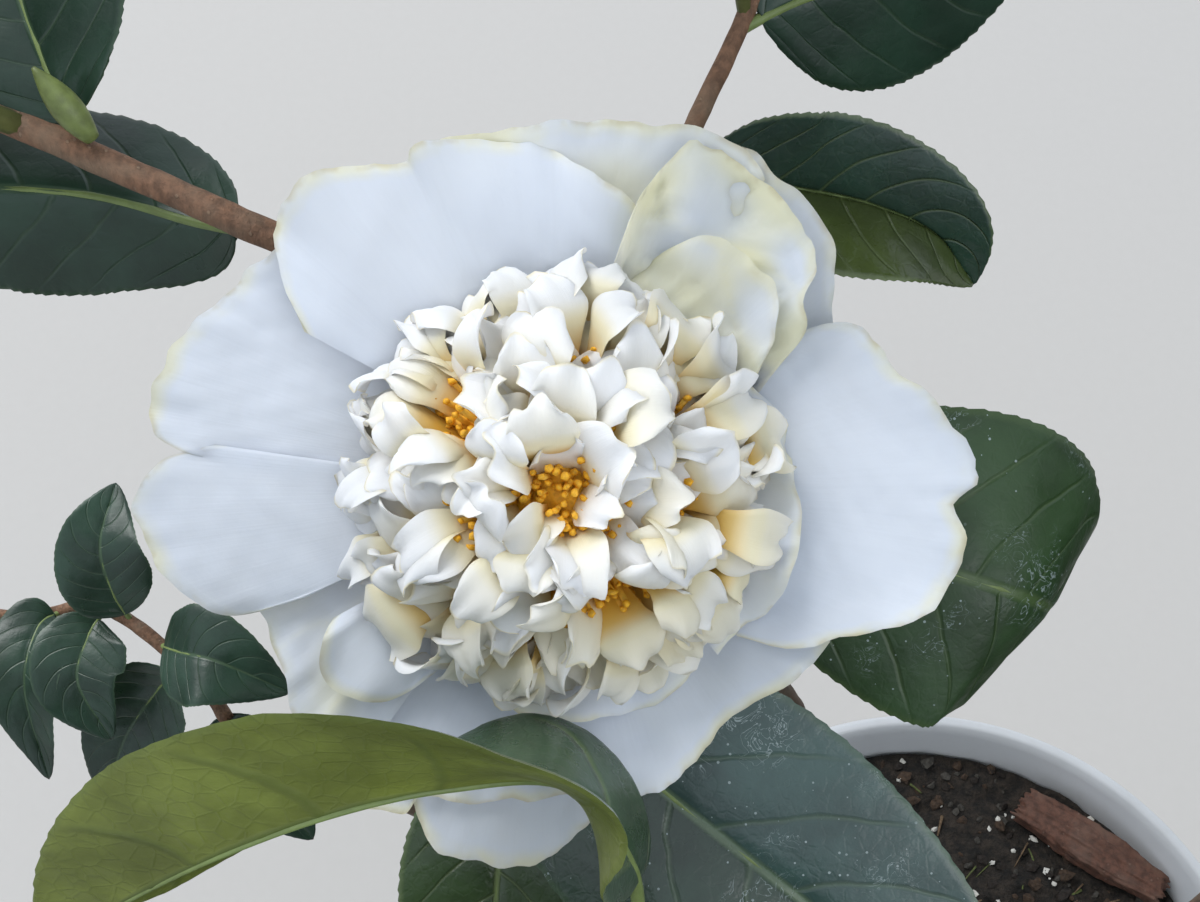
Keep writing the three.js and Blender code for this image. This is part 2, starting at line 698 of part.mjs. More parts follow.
// The boughs that end in a mass of foliage, and the leader. Each has its name, where on the trunk it
// springs, the tip of its last twig, its bow, its radius at both ends of its bare wood, the share of
// it that is bare, and a seed. The rest of it is the stem of its mass.
const LEAFY_BOUGHS = [
  ["back_low", 0.36, vec(-152, 113, 515), vec(2, 6, -10), [3.8, 2.5], 0.6, 113],
  ["back_right", 0.44, vec(167, 175, 546), vec(47, 0, -14), [4.2, 2.6], 0.46, 43],
  ["back_high", 0.8, vec(30, 236, 700), vec(70, -6, -10), [4.0, 2.6], 0.5, 53],
  ["right_low", 0.28, vec(222, 24, 425), vec(2, 0, -16), [4.0, 2.5], 0.42, 31],
  ["right_high", 0.74, vec(152, -40, 600), vec(4, 0, -10), [4.2, 2.7], 0.36, 23],
  ["front_right", 0.56, vec(134, -180, 500), vec(2, -4, -12), [4.0, 2.5], 0.4, 61],
  ["front_low", 0.24, vec(16, -218, 372), vec(0, -4, -14), [4.0, 2.5], 0.42, 71],
  ["front_left", 0.38, vec(-151, -200, 468), vec(-2, -4, -14), [4.0, 2.5], 0.42, 83],
  ["left_front", 0.64, vec(-262, -112, 540), vec(-4, -2, -14), [4.2, 2.5], 0.42, 97],
  ["front_high", 0.88, vec(-20, -178, 630), vec(0, -10, -4), [3.6, 2.5], 0.36, 101],
  ["leader", 1, vec(40, -58, 742), vec(6, 3, 0), [4.7, 2.7], 0.3, 11],
];
const MASS_REACH = 84;
const CROWN_SIDE_TWIGS = 5;

function partOf(line, from, to) {
  return (t) => line(from + (to - from) * t);
}

function addLimbs() {
  noteLimb("trunk", trunkLine, TRUNK.map(([, radius]) => radius), 12, 10);
  Object.entries(BARE_BOUGHS).forEach(([name, [from, tip, bow, radii]]) => {
    noteLimb(name, bowed(trunkLine(from), tip, bow), radii, 6, 5);
  });
  noteLimb("bough_bloom", bowed(LEFT_FORK, UNDER_BLOOM, vec(3, -2, 0)), [2.9, 2.2], 6, 4);
  LEAFY_BOUGHS.forEach(([name, from, tip, bow, radii, bare, seed]) => {
    const line = bowed(trunkLine(from), tip, bow);
    const limb = name === "leader" ? name : `bough_${name}`;
    const mass = name === "leader" ? "foliage_top" : `foliage_${name}`;
    noteLimb(limb, partOf(line, 0, bare), radii, 6, 4);
    const stem = partOf(line, bare, 1);
    masses.push({ name: mass, limb, stem, seed, reach: MASS_REACH, sideTwigs: CROWN_SIDE_TWIGS, bare: 0.04 });
  });
  const ground = SOIL_TOP + SOIL_MOUND + GAP;
  addNode("trunk", limbSolid("trunk").trimByPlane([0, 0, 1], ground), BARK_BROWN);
  const cutters = { bough_bloom: limbCutter("bough_left") };
  const trunkCutter = limbCutter("trunk");
  [...limbs.keys()].slice(1).forEach((name) => {
    addNode(name, limbSolid(name).subtract(cutters[name] ?? trunkCutter), BARK_BROWN);
  });
}

// The leaves round the bloom, each laid in its frame: its midrib from twig to tip, how it rolls,
// half its width, and the folds of its left and right halves.
function placedLeaf([points, rolls, halfWidth, foldLeft, foldRight]) {
  const midrib = placedMidrib(points.map(fromBloom), rolls, bloom.z);
  return { midrib, halfWidth, foldLeft, foldRight, placed: true };
}

const FOLDS = [-2.5, -1, 4, 11.5, 22.5, 26.5, 27, 27];
const FOLDED_LEAF = [
  [
    [9.4, -52, -6], [8, -41, 4], [1, -31, 11], [-11, -29.8, 18], [-23, -32, 21],
    [-36, -37.5, 17.5], [-48, -44.5, 10], [-56, -50, 4],
  ],
  [69.5, 79, 94, 104.5, 117.5, 123.5, 125, 125], 19, FOLDS, FOLDS,
];
const LOWER_LEAF = [
  [
    [-10.5, -19.5, -34.5], [-2, -27, -28], [13, -39.5, -25.5], [30, -53, -26], [46, -66, -30],
    [58, -77, -38],
  ],
  [0, 0, -4, -4, 0], 20.5, [14, 14], [8, 8],
];
const RIGHT_LEAF = [
  [
    [7, 1.8, -31.8], [19, -2.4, -24.5], [34, -6.5, -19.5], [47, -10.4, -18], [57, -13.6, -20],
    [62.5, -15.8, -27], [65, -17, -37], [66, -17.5, -46],
  ],
  [0, 0], 21.5, [0, 0], [-18, -18],
];
const BOTTOM_LEAF = [
  [
    [-11, -26.4, -32.2], [-8, -38, -31], [-9, -52, -30], [-10, -66, -34], [-13, -80, -44],
  ],
  [0, 0, 6, 8, 8], 13, [12, 12], [12, 12],
];
const BACK_LEAF = [
  [
    [14, 40, -14], [19, 39, -19], [29, 36, -22], [38, 36, -20], [47, 33, -22], [53, 26, -28],
  ],
  [0, 10, 14, 14, 10, 8], 12.5, [34, 34], [42, 42],
];
const TOP_LEAF = [
  [
    [21, 54.8, -10.6], [28, 58, -10], [40, 62, -9], [52, 68, -10], [64, 77, -15],
  ],
  [0, 0, 6, 8, 10], 17, [20, 20], [-42, -42],
];
const UPPER_LEFT_LEAF = [
  [
    [-56, 39.4, -9.5], [-61, 50, -8], [-65, 62, -8], [-67, 76, -10], [-68, 92, -17],
  ],
  [0, 0, -6, -8, -8], 15.5, [14, 14], [14, 14],
];
const MIDDLE_LEFT_LEAF = [
  [
    [-36, 30.7, -12.5], [-45, 32.5, -17], [-58, 36, -18], [-72, 37, -18], [-86, 36, -20],
    [-97, 33, -26],
  ],
  [0, 0, 4, 6, 6, 4], 15, [-40, -40], [-30, -30],
];

// The leaves low on the left, seen past the bloom: roll, half width, folds and midrib.
const LOW_LEFT_LEAVES = [
  [0, 13, 12, 12, [[-122, -42, -262], [-125, -33, -254], [-127, -20, -250], [-124, -4, -254]]],
  [-4, 14, 10, 10, [[-115, -48, -262.6], [-107, -49, -254], [-96, -51, -250], [-78, -60, -256]]],
  [0, 13, 8, 14, [[-131, -39.4, -265.9], [-134, -46, -262], [-136, -58, -260], [-128, -74, -264]]],
  [15, 12, 10, 22, [[-144, -39.6, -272], [-149, -44, -266], [-151, -60, -262], [-147, -86, -270]]],
  [0, 14, 10, 14, [[-109, -53.6, -263.4], [-118, -62, -272], [-128, -76, -276], [-136, -96, -284]]],
  [0, 14, 10, 10, [[-99, -63.6, -260.8], [-94, -74, -262], [-86, -86, -264], [-74, -102, -268]]],
].map(([roll, half, left, right, points]) => {
  return [points, [roll, roll], half, [left, left], [right, right]];
});

// The masses round the bloom, with their stems laid in its frame, and what each is cut clear of.
const SHOOTS = [
  {
    name: "foliage_under_bloom",
    limb: "bough_bloom",
    path: [
      [-0.6, 11.6, -32.5], [-6, 4, -38], [-10, -12, -37], [-11, -27, -32],
    ],
    sideTwigs: 0,
    seed: 3,
    bare: 1,
    placed: [RIGHT_LEAF, LOWER_LEAF, BOTTOM_LEAF],
    petioles: [[[-3.8, 7, -35.8], [9, 1, -31]]],
  },
  {
    name: "foliage_left_twig",
    limb: "bough_bloom",
    clearOf: ["foliage_under_bloom"],
    path: [
      [0, 14.6, -30.6], [-18, 22.5, -20], [-36, 30.7, -12.5], [-66, 43.8, -8], [-92, 55, -3],
      [-128, 66, 4],
    ],
    sideTwigs: 4,
    seed: 131,
    bare: 0.55,
    placed: [UPPER_LEFT_LEAF, MIDDLE_LEFT_LEAF],
    buds: [[[-55, 41, -7], [-60, 48, -1]]],
  },
  {
    name: "foliage_back_twig",
    limb: "bough_bloom",
    clearOf: ["foliage_under_bloom", "foliage_left_twig"],
    path: [
      [1.6, 14.9, -30.6], [8, 28, -20], [15, 42, -13], [22.5, 58, -10], [32, 82, -4],
      [44, 112, 2],
    ],
    sideTwigs: 4,
    seed: 149,
    bare: 0.55,
    placed: [BACK_LEAF, TOP_LEAF],
  },
  {
    name: "foliage_front_twig",
    limb: "bough_left",
    alsoLimb: "bough_bloom",
    path: [
      [40.5, -50, -136], [37, -66, -106], [28, -79, -66], [15, -71, -30], [9.4, -52.5, -6.5],
      [-2, -70, 16], [-8, -102, 26],
    ],
    sideTwigs: 4,
    seed: 163,
    bare: 0.7,
    placed: [FOLDED_LEAF],
  },
  {
    name: "foliage_left_low",
    limb: "bough_left_low",
    path: [
      [-95.5, -67.5, -258.5], [-104, -58, -264], [-122, -42, -262], [-136, -38, -268],
      [-156, -42, -278], [-182, -40, -288],
    ],
    sideTwigs: 5,
    seed: 179,
    bare: 0.55,
    placed: LOW_LEFT_LEAVES,
  },
];
const SHOOT_REACH = 72;

const laid = (pairs = []) => pairs.map(([a, b]) => bowed(fromBloom(a), fromBloom(b), vec(0, 0, 0)));
const masses = SHOOTS.map((shoot) => ({
  ...shoot,
  stem: lineThrough(shoot.path.map(fromBloom)),
  stemSteps: shoot.path.length - 1,
  reach: SHOOT_REACH,
  placed: shoot.placed.map(placedLeaf),
  petioles: laid(shoot.petioles),
  buds: laid(shoot.buds),
}));
const massNamed = (name) => masses.find((mass) => mass.name === name);

// The smaller blooms on the right and at the back, by the mass whose stem carries each.
const SMALL_BLOOMS = [
  {
    name: "bloom_right",
    mass: "foliage_right_high",
    axis: vec(0.66, -0.42, 0.62),
    scale: 0.82,
    turn: 40,
    seed: 7,
  },
  {
    name: "bloom_back",
    mass: "foliage_back_right",
    axis: vec(0.3, 0.76, 0.58),
    scale: 0.86,
    turn: 140,
    seed: 19,
  },
];
const BLOOM_LIFT = 26;

// The stem of a mass grown by the gap all over: on three sides the corners move twice as far.
function stemCutter({ twigs: [{ line, radiusAt }], stemSteps = 4 }) {
  return tube(line, (t) => radiusAt(t) + 2.4 * GAP, 3, stemSteps);
}

function addCrown() {
  solidBalls.push({ centre: fromBloom([0, 0, -6]), radius: 42 });
  SMALL_BLOOMS.forEach((small) => {
    const foot = massNamed(small.mass).stem(1);
    const axis = small.axis.clone().normalize();
    small.foot = foot.clone().addScaledVector(axis, 2 * GAP);
    small.frame = bloomFrame(foot.addScaledVector(axis, BLOOM_LIFT * small.scale), axis);
    solidBalls.push({ centre: small.frame.at(0, 0, -6), radius: 50 * small.scale });
  });
  masses.forEach((mass) => (mass.placed ?? []).forEach((leaf) => leafPoints.push(...probesOf(leaf))));
  masses.forEach(layTwigs);
  masses.forEach(growLeaves);
  masses.forEach((mass) => {
    const cutters = [mass.limb, mass.alsoLimb].filter(Boolean).map(limbCutter);
    (mass.clearOf ?? []).forEach((name) => cutters.push(stemCutter(massNamed(name))));
    addNode(mass.name, massSolid(mass).subtract(fused(cutters)), LEAF_GREEN);
  });
}

const HERO_ROWS = [0, 0.35, 0.7, 1];
const HERO_COLUMNS = [-1, -0.5, 0.05, 0.5, 1];

function addLargeBloom() {
  const cup = cupSolid(bloom, 1, fromBloom([0.4, 12, -30]));
  const petals = OUTER_PETALS.map((petal) => petalSolid(bloom, petal, 1, HERO_ROWS, HERO_COLUMNS));
  const stems = SHOOTS.slice(0, 3).map(({ name }) => stemCutter(massNamed(name)));
  const cutters = fused([limbCutter("bough_bloom"), ...stems]);
  addNode("bloom_petals", fused([cup, ...petals]).subtract(cutters), PETAL_WHITE);
  const ball = ballSolid(bloom, 1, ballPetals(bloom, 1, seeded(5)));
  addNode("bloom_centre", ball.subtract(bowlSolid(bloom)), PETAL_CREAM);
}

function addSmallBloom({ name, mass, frame, foot, scale, turn, seed }) {
  const petals = Array.from({ length: 6 }, (_, k) => {
    const tier = k % 2;
    const size = { reach: 46, half: 21, edge: 5 * tier - 5, notch: 0, ripple: 1 };
    const petal = { ...size, angle: turn + 60 * k, tier };
    return petalSolid(frame, petal, scale, [0, 0.6, 1], [-1, 0, 1]);
  });
  const small = ballPetals(frame, scale, seeded(seed)).filter((petal, i) => i % 5 === 0);
  const solid = fused([...petals, ballSolid(frame, scale, small), cupSolid(frame, scale, foot)]);
  addNode(name, solid.subtract(stemCutter(massNamed(mass))), PETAL_WHITE);
}

addPot();
addChip();
addLimbs();
addCrown();
addLargeBloom();
SMALL_BLOOMS.forEach(addSmallBloom);

export default group;
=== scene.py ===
# Builds the looks of a young camellia in a round white pot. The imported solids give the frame.
# Leaves and twigs grow by the rule of the part's source, in millimetres from the middle of the
# pot's underside, and each finished mesh is in metres.

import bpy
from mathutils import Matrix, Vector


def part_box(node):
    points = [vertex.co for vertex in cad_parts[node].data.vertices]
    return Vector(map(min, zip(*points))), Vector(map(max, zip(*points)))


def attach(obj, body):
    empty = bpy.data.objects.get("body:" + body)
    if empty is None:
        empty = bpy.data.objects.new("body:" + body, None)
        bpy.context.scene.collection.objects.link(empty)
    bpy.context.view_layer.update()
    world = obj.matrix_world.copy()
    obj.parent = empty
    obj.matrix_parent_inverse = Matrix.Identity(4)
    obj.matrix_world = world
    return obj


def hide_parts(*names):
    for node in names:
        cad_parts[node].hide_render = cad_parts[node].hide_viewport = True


bl_info = {
    "name": "Potted camellia",
    "version": (1, 0, 0),
    "blender": (4, 5, 0),
    "location": "3D View > Sidebar > Camellia",
    "description": "Builds a young camellia with white blooms in a round white pot",
    "category": "Add Mesh",
}

import functools
import math
from types import SimpleNamespace

import bmesh
import bpy
import numpy as np
from bpy.props import FloatProperty, FloatVectorProperty, IntProperty, PointerProperty
from mathutils import Matrix

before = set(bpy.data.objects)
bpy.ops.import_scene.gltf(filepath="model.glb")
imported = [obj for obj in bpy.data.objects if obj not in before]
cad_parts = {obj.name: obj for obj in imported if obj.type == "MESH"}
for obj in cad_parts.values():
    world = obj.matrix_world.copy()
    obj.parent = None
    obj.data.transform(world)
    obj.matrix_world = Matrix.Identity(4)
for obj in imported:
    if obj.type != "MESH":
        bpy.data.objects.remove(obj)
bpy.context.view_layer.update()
_, POT_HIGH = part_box("pot")

MM = 0.001
TAU = 2 * math.pi

# Sizes that the rule of growth shares with the part's source, in millimetres

POT_HEIGHT, POT_BASE, POT_TOP = 210, 90, 121
POT_WALL, POT_LIP = 3, 15
SOIL_TOP, SOIL_MOUND = 190, 4
CHIP_SIZE = (62, 17, 9)
CHIP_PLACE = (69, 73)
CHIP_TURN = -35

LEAF_LENGTH = 78
LEAF_SLIMNESS = 0.245
PETIOLE_SHARE = 0.1
PETIOLE_HALF = 1.5
LEAF_SPACING = 19
LEAF_TRIES = 7
ROOT_SINK = 0.6
DIVERGENCE = 137.5
LEAF_LIFT, TWIG_LIFT = 0.12, 0.15
LEAF_CLEARANCE = 6.5
LIMB_CLEARANCE = 4.5
STEM_RADIUS = 2.1
TWIG_RADIUS = 1.5
TWIG_LENGTH = 84
MASS_REACH = 84
SHOOT_REACH = 72
CROWN_SIDE_TWIGS = 5

TRUNK = [
    ((0, 0, SOIL_TOP), 14),
    ((1, -6, 225), 9.5),
    ((1, -16, 270), 8.6),
    ((3, -24, 330), 7.6),
    ((8, -31, 380), 6.4),
    ((12, -36, 425), 5.2),
]


def vec(x, y, z):
    return np.array((x, y, z), float)


def unit(v):
    return v / np.linalg.norm(v, axis=-1, keepdims=True)


def dot(a, b):
    return (a * b).sum(-1, keepdims=True)


def square_to(v, axis):
    """The part of v that is square to axis, at unit length."""
    return unit(v - axis * dot(v, axis))


def sides_of(axis):
    """Two directions square to an axis and to each other."""
    steep = np.abs(axis[..., 2:]) >= 0.9
    first = square_to(np.where(steep, vec(1, 0, 0), vec(0, 0, 1)), axis)
    return first, np.cross(axis, first)


class Seeded:
    """A fixed sequence of numbers from 0 to 1, the same that the part's source draws."""

    def __init__(self, seed):
        self.state = seed
        self.next()
        self.next()

    def next(self):
        self.state = (self.state * 1664525 + 1013904223) % 4294967296
        return self.state / 4294967296

    def between(self, low, high):
        return low + (high - low) * self.next()

    def way(self):
        return unit(vec(self.between(-1, 1), self.between(-1, 1), self.between(-1, 1)) + 1e-9)


def waves(points, size, seed, count=8):
    """A smooth uneven field of about -1 to 1 over points, with hills about size apart."""
    random = Seeded(seed)
    total = np.zeros(points.shape[:-1])
    for _ in range(count):
        pitch = TAU / size * random.between(0.55, 1.6)
        total += np.sin(points @ random.way() * pitch + random.between(0, TAU))
    return total / math.sqrt(count)


def blend(values, t):
    return np.interp(t, np.linspace(0, 1, len(values)), values)


def bump(x, middle, width):
    return np.exp(-(((x - middle) / width) ** 2))


# Lines


def line_through(points):
    """A smooth line through points, as a function of 0 to 1."""
    points = np.array(points, float)
    last = len(points) - 1
    ends = [2 * points[0] - points[1], 2 * points[-1] - points[-2]]
    padded = np.vstack([ends[0], points, ends[1]])

    def line(t):
        reach = np.clip(t, 0, 1) * last
        i = np.minimum(np.floor(reach), last - 1).astype(int)
        f = np.asarray(reach - i)[..., None]
        p0, p1, p2, p3 = (padded[i + k] for k in range(4))
        b = p2 - p0
        c = 2 * p0 - 5 * p1 + 4 * p2 - p3
        d = 3 * p1 - 3 * p2 + p3 - p0
        return p1 + b * f / 2 + c * f * f / 2 + d * f * f * f / 2

    return line


def bowed(start, tip, bow):
    """A line from start to tip that bows to one side by a vector."""

    def line(t):
        t = np.asarray(t, float)[..., None]
        return start + (tip - start) * t + bow * (4 * t * (1 - t))

    return line


def part_of(line, low, high):
    return lambda t: line(low + (high - low) * np.asarray(t, float))


def direction_of(line, t):
    return unit(line(np.minimum(t + 0.01, 1)) - line(np.maximum(np.asarray(t) - 0.01, 0)))


def branching(way, turn, lean, lift):
    """A direction that leans out from way, at a turn round it, and lifts a little."""
    aside, other = sides_of(way)
    out = aside * math.cos(turn) + other * math.sin(turn)
    return unit(way * math.cos(lean) + out * math.sin(lean) + vec(0, 0, lift))


# Leaves


def arched_midrib(root, along, up, length, droop):
    bend = math.radians(droop) or 1e-6

    def midrib(t):
        angle = bend * np.asarray(t, float)[..., None]
        c, s = np.cos(angle), np.sin(angle)
        point = root + along * (length * s / bend) - up * (length * (1 - c) / bend)
        return point, along * c - up * s, up * c + along * s

    return midrib


def placed_midrib(points, rolls, viewer):
    """A midrib through chosen points, whose upper side faces the viewer and is then rolled."""
    line = line_through(points)

    def midrib(t):
        t = np.asarray(t, float)
        along = direction_of(line, t)
        facing = square_to(np.broadcast_to(viewer, along.shape), along)
        right = np.cross(along, facing)
        roll = np.radians(blend(rolls, t))[..., None]
        return line(t), along, facing * np.cos(roll) + right * np.sin(roll)

    return midrib


def leaf_outline(t):
    """Half the width of a leaf at t, as a share of its greatest half width."""
    q = np.maximum((t - PETIOLE_SHARE) / (1 - PETIOLE_SHARE), 0)
    swell = np.maximum(np.sin(math.pi * q**0.88), 0) ** 0.74
    return np.where(q > 0, swell * (1.03 - 0.1 * q), 0)


def leaf_frame(leaf, t, u):
    """Points on a leaf, u from -1 at its left edge to 1 at its right, with side, up and width."""
    point, along, up = leaf.midrib(t)
    side = np.cross(along, up)
    fold = np.radians(np.where(u < 0, blend(leaf.fold_left, t), blend(leaf.fold_right, t)))
    width = np.maximum(leaf.half_width * leaf_outline(t), PETIOLE_HALF * (1 - t))
    across = (u * width * np.cos(fold))[..., None]
    rise = (np.abs(u) * width * np.sin(fold))[..., None]
    return point + side * across + up * rise, side, up, width


# The frame of a bloom


class BloomFrame:
    """A bloom's middle and its x, y and z vectors, with z along the bloom's axis."""

    def __init__(self, centre, axis):
        self.centre = centre
        self.z = unit(axis)
        self.x = square_to(vec(1, 0, 0) if abs(self.z[0]) < 0.6 else vec(0, 1, 0), self.z)
        self.y = np.cross(self.z, self.x)
        self.rows = np.array((self.x, self.y, self.z))

    def way(self, v):
        return np.asarray(v, float) @ self.rows

    def at(self, v):
        return self.way(v) + self.centre


BLOOM_ELEVATION = math.radians(62)
BLOOM = BloomFrame(
    vec(-134.4, -17.5, 697.4),
    vec(0, -math.cos(BLOOM_ELEVATION), math.sin(BLOOM_ELEVATION)),
)

# The opening round the large bloom, in its frame, where no leaf grows but those laid there.
OPENING_APEX = (4.5, 4.4, 188.5)
OPENING_HALF = (0.36, 0.27)
OPENING_MARGIN = 8
OPENING_SHADE = (232, 0.17)

# Limbs and masses, as in the part's source

LEFT_FORK = BLOOM.at((41, -47, -137))
UNDER_BLOOM = BLOOM.at((1, 14, -31))

BARE_BOUGHS = {
    "bough_left": (0.5, LEFT_FORK, vec(-8, 0, 6), (5.0, 3.2)),
    "bough_left_low": (0.2, vec(-228, 42, 437), vec(-6, 2, 2), (4.2, 2.4)),
}

LEAFY_BOUGHS = [
    ("back_low", 0.36, vec(-152, 113, 515), vec(2, 6, -10), (3.8, 2.5), 0.6, 113),
    ("back_right", 0.44, vec(167, 175, 546), vec(47, 0, -14), (4.2, 2.6), 0.46, 43),
    ("back_high", 0.8, vec(30, 236, 700), vec(70, -6, -10), (4.0, 2.6), 0.5, 53),
    ("right_low", 0.28, vec(222, 24, 425), vec(2, 0, -16), (4.0, 2.5), 0.42, 31),
    ("right_high", 0.74, vec(152, -40, 600), vec(4, 0, -10), (4.2, 2.7), 0.36, 23),
    ("front_right", 0.56, vec(134, -180, 500), vec(2, -4, -12), (4.0, 2.5), 0.4, 61),
    ("front_low", 0.24, vec(16, -218, 372), vec(0, -4, -14), (4.0, 2.5), 0.42, 71),
    ("front_left", 0.38, vec(-151, -200, 468), vec(-2, -4, -14), (4.0, 2.5), 0.42, 83),
    ("left_front", 0.64, vec(-262, -112, 540), vec(-4, -2, -14), (4.2, 2.5), 0.42, 97),
    ("front_high", 0.88, vec(-20, -178, 630), vec(0, -10, -4), (3.6, 2.5), 0.36, 101),
    ("leader", 1, vec(40, -58, 742), vec(6, 3, 0), (4.7, 2.7), 0.3, 11),
]

# The leaves round the large bloom, laid in its frame: midrib from twig to tip, rolls, half width,
# and folds of the left and right halves.
FOLDS = (-2.5, -1, 4, 11.5, 22.5, 26.5, 27, 27)
PLACED_LEAVES = {
    "folded": (
        [(9.4, -52, -6), (8, -41, 4), (1, -31, 11), (-11, -29.8, 18), (-23, -32, 21),
         (-36, -37.5, 17.5), (-48, -44.5, 10), (-56, -50, 4)],
        (69.5, 79, 94, 104.5, 117.5, 123.5, 125, 125), 19, FOLDS, FOLDS,
    ),
    "lower": (
        [(-10.5, -19.5, -34.5), (-2, -27, -28), (13, -39.5, -25.5), (30, -53, -26),
         (46, -66, -30), (58, -77, -38)],
        (0, 0, -4, -4, 0), 20.5, (14, 14), (8, 8),
    ),
    "right": (
        [(7, 1.8, -31.8), (19, -2.4, -24.5), (34, -6.5, -19.5), (47, -10.4, -18),
         (57, -13.6, -20), (62.5, -15.8, -27), (65, -17, -37), (66, -17.5, -46)],
        (0, 0), 21.5, (0, 0), (-18, -18),
    ),
    "bottom": (
        [(-11, -26.4, -32.2), (-8, -38, -31), (-9, -52, -30), (-10, -66, -34), (-13, -80, -44)],
        (0, 0, 6, 8, 8), 13, (12, 12), (12, 12),
    ),
    "back": (
        [(14, 40, -14), (19, 39, -19), (29, 36, -22), (38, 36, -20), (47, 33, -22), (53, 26, -28)],
        (0, 10, 14, 14, 10, 8), 12.5, (34, 34), (42, 42),
    ),
    "top": (
        [(21, 54.8, -10.6), (28, 58, -10), (40, 62, -9), (52, 68, -10), (64, 77, -15)],
        (0, 0, 6, 8, 10), 17, (20, 20), (-42, -42),
    ),
    "upper_left": (
        [(-56, 39.4, -9.5), (-61, 50, -8), (-65, 62, -8), (-67, 76, -10), (-68, 92, -17)],
        (0, 0, -6, -8, -8), 15.5, (14, 14), (14, 14),
    ),
    "middle_left": (
        [(-36, 30.7, -12.5), (-45, 32.5, -17), (-58, 36, -18), (-72, 37, -18), (-86, 36, -20),
         (-97, 33, -26)],
        (0, 0, 4, 6, 6, 4), 15, (-40, -40), (-30, -30),
    ),
    "low_1": ([(-122, -42, -262), (-125, -33, -254), (-127, -20, -250), (-124, -4, -254)],
              (0, 0), 13, (12, 12), (12, 12)),
    "low_2": ([(-115, -48, -262.6), (-107, -49, -254), (-96, -51, -250), (-78, -60, -256)],
              (-4, -4), 14, (10, 10), (10, 10)),
    "low_3": ([(-131, -39.4, -265.9), (-134, -46, -262), (-136, -58, -260), (-128, -74, -264)],
              (0, 0), 13, (8, 8), (14, 14)),
    "low_4": ([(-144, -39.6, -272), (-149, -44, -266), (-151, -60, -262), (-147, -86, -270)],
              (15, 15), 12, (10, 10), (22, 22)),
    "low_5": ([(-109, -53.6, -263.4), (-118, -62, -272), (-128, -76, -276), (-136, -96, -284)],
              (0, 0), 14, (10, 10), (14, 14)),
    "low_6": ([(-99, -63.6, -260.8), (-94, -74, -262), (-86, -86, -264), (-74, -102, -268)],
              (0, 0), 14, (10, 10), (10, 10)),
}

SHOOTS = [
    {
        "name": "foliage_under_bloom",
        "path": [(-0.6, 11.6, -32.5), (-6, 4, -38), (-10, -12, -37), (-11, -27, -32)],
        "side_twigs": 0, "seed": 3, "bare": 1,
        "placed": ("right", "lower", "bottom"),
        "petioles": [((-3.8, 7, -35.8), (9, 1, -31))],
    },
    {
        "name": "foliage_left_twig",
        "path": [(0, 14.6, -30.6), (-18, 22.5, -20), (-36, 30.7, -12.5), (-66, 43.8, -8),
                 (-92, 55, -3), (-128, 66, 4)],
        "side_twigs": 4, "seed": 131, "bare": 0.55,
        "placed": ("upper_left", "middle_left"),
        "buds": [((-55, 41, -7), (-60, 48, -1))],
    },
    {
        "name": "foliage_back_twig",
        "path": [(1.6, 14.9, -30.6), (8, 28, -20), (15, 42, -13), (22.5, 58, -10), (32, 82, -4),
                 (44, 112, 2)],
        "side_twigs": 4, "seed": 149, "bare": 0.55, "slim": 0.64,
        "placed": ("back", "top"),
    },
    {
        "name": "foliage_front_twig",
        "path": [(40.5, -50, -136), (37, -66, -106), (28, -79, -66), (15, -71, -30),
                 (9.4, -52.5, -6.5), (-2, -70, 16), (-8, -102, 26)],
        "side_twigs": 4, "seed": 163, "bare": 0.7,
        "placed": ("folded",),
    },
    {
        "name": "foliage_left_low",
        "path": [(-95.5, -67.5, -258.5), (-104, -58, -264), (-122, -42, -262), (-136, -38, -268),
                 (-156, -42, -278), (-182, -40, -288)],
        "side_twigs": 5, "seed": 179, "bare": 0.55,
        "placed": ("low_1", "low_2", "low_3", "low_4", "low_5", "low_6"),
    },
]

SMALL_BLOOMS = [
    ("bloom_right", "foliage_right_high", (0.66, -0.42, 0.62), 0.82, 40, 7),
    ("bloom_back", "foliage_back_right", (0.3, 0.76, 0.58), 0.86, 140, 19),
]
BLOOM_LIFT = 26
GAP = 0.3
# The ball that leaves keep out of round a bloom: its middle, and its radius for the large one and
# for the smaller ones.
ROOM_MIDDLE = [(0, 0, -6)]
LARGE_ROOM, SMALL_ROOM = 42, 50

# Growth

STEM_SAMPLES = np.array((0, 0.15, 0.3, 0.45, 0.6, 0.75, 0.9, 1))
PROBE_T, PROBE_U = (
    grid.ravel()
    for grid in np.meshgrid(
        (0.2, 0.32, 0.44, 0.56, 0.68, 0.8, 0.97), (-0.95, -0.5, 0, 0.5, 0.95), indexing="ij"
    )
)


def probes_of(leaf):
    return leaf_frame(leaf, PROBE_T, PROBE_U)[0]


def in_opening(points):
    """Whether each point lies in the opening round the large bloom and isn't hidden behind it."""
    away = points - BLOOM.at(OPENING_APEX)
    depth, right, up = -(away @ BLOOM.z), away @ BLOOM.x, away @ BLOOM.y
    beside = np.abs(right) < OPENING_HALF[0] * depth + OPENING_MARGIN
    between = np.abs(up) < OPENING_HALF[1] * depth + OPENING_MARGIN
    shown = (depth < OPENING_SHADE[0]) | (np.hypot(right, up) > OPENING_SHADE[1] * depth)
    return beside & between & shown


def in_space(points, mass, share):
    """Whether all the points belong to a mass: near enough to its stem."""
    stem = mass.stem(STEM_SAMPLES)
    away = np.linalg.norm(points[:, None] - stem[None], axis=-1).min(1)
    return bool((away < mass.reach * share).all() and not in_opening(points).any())


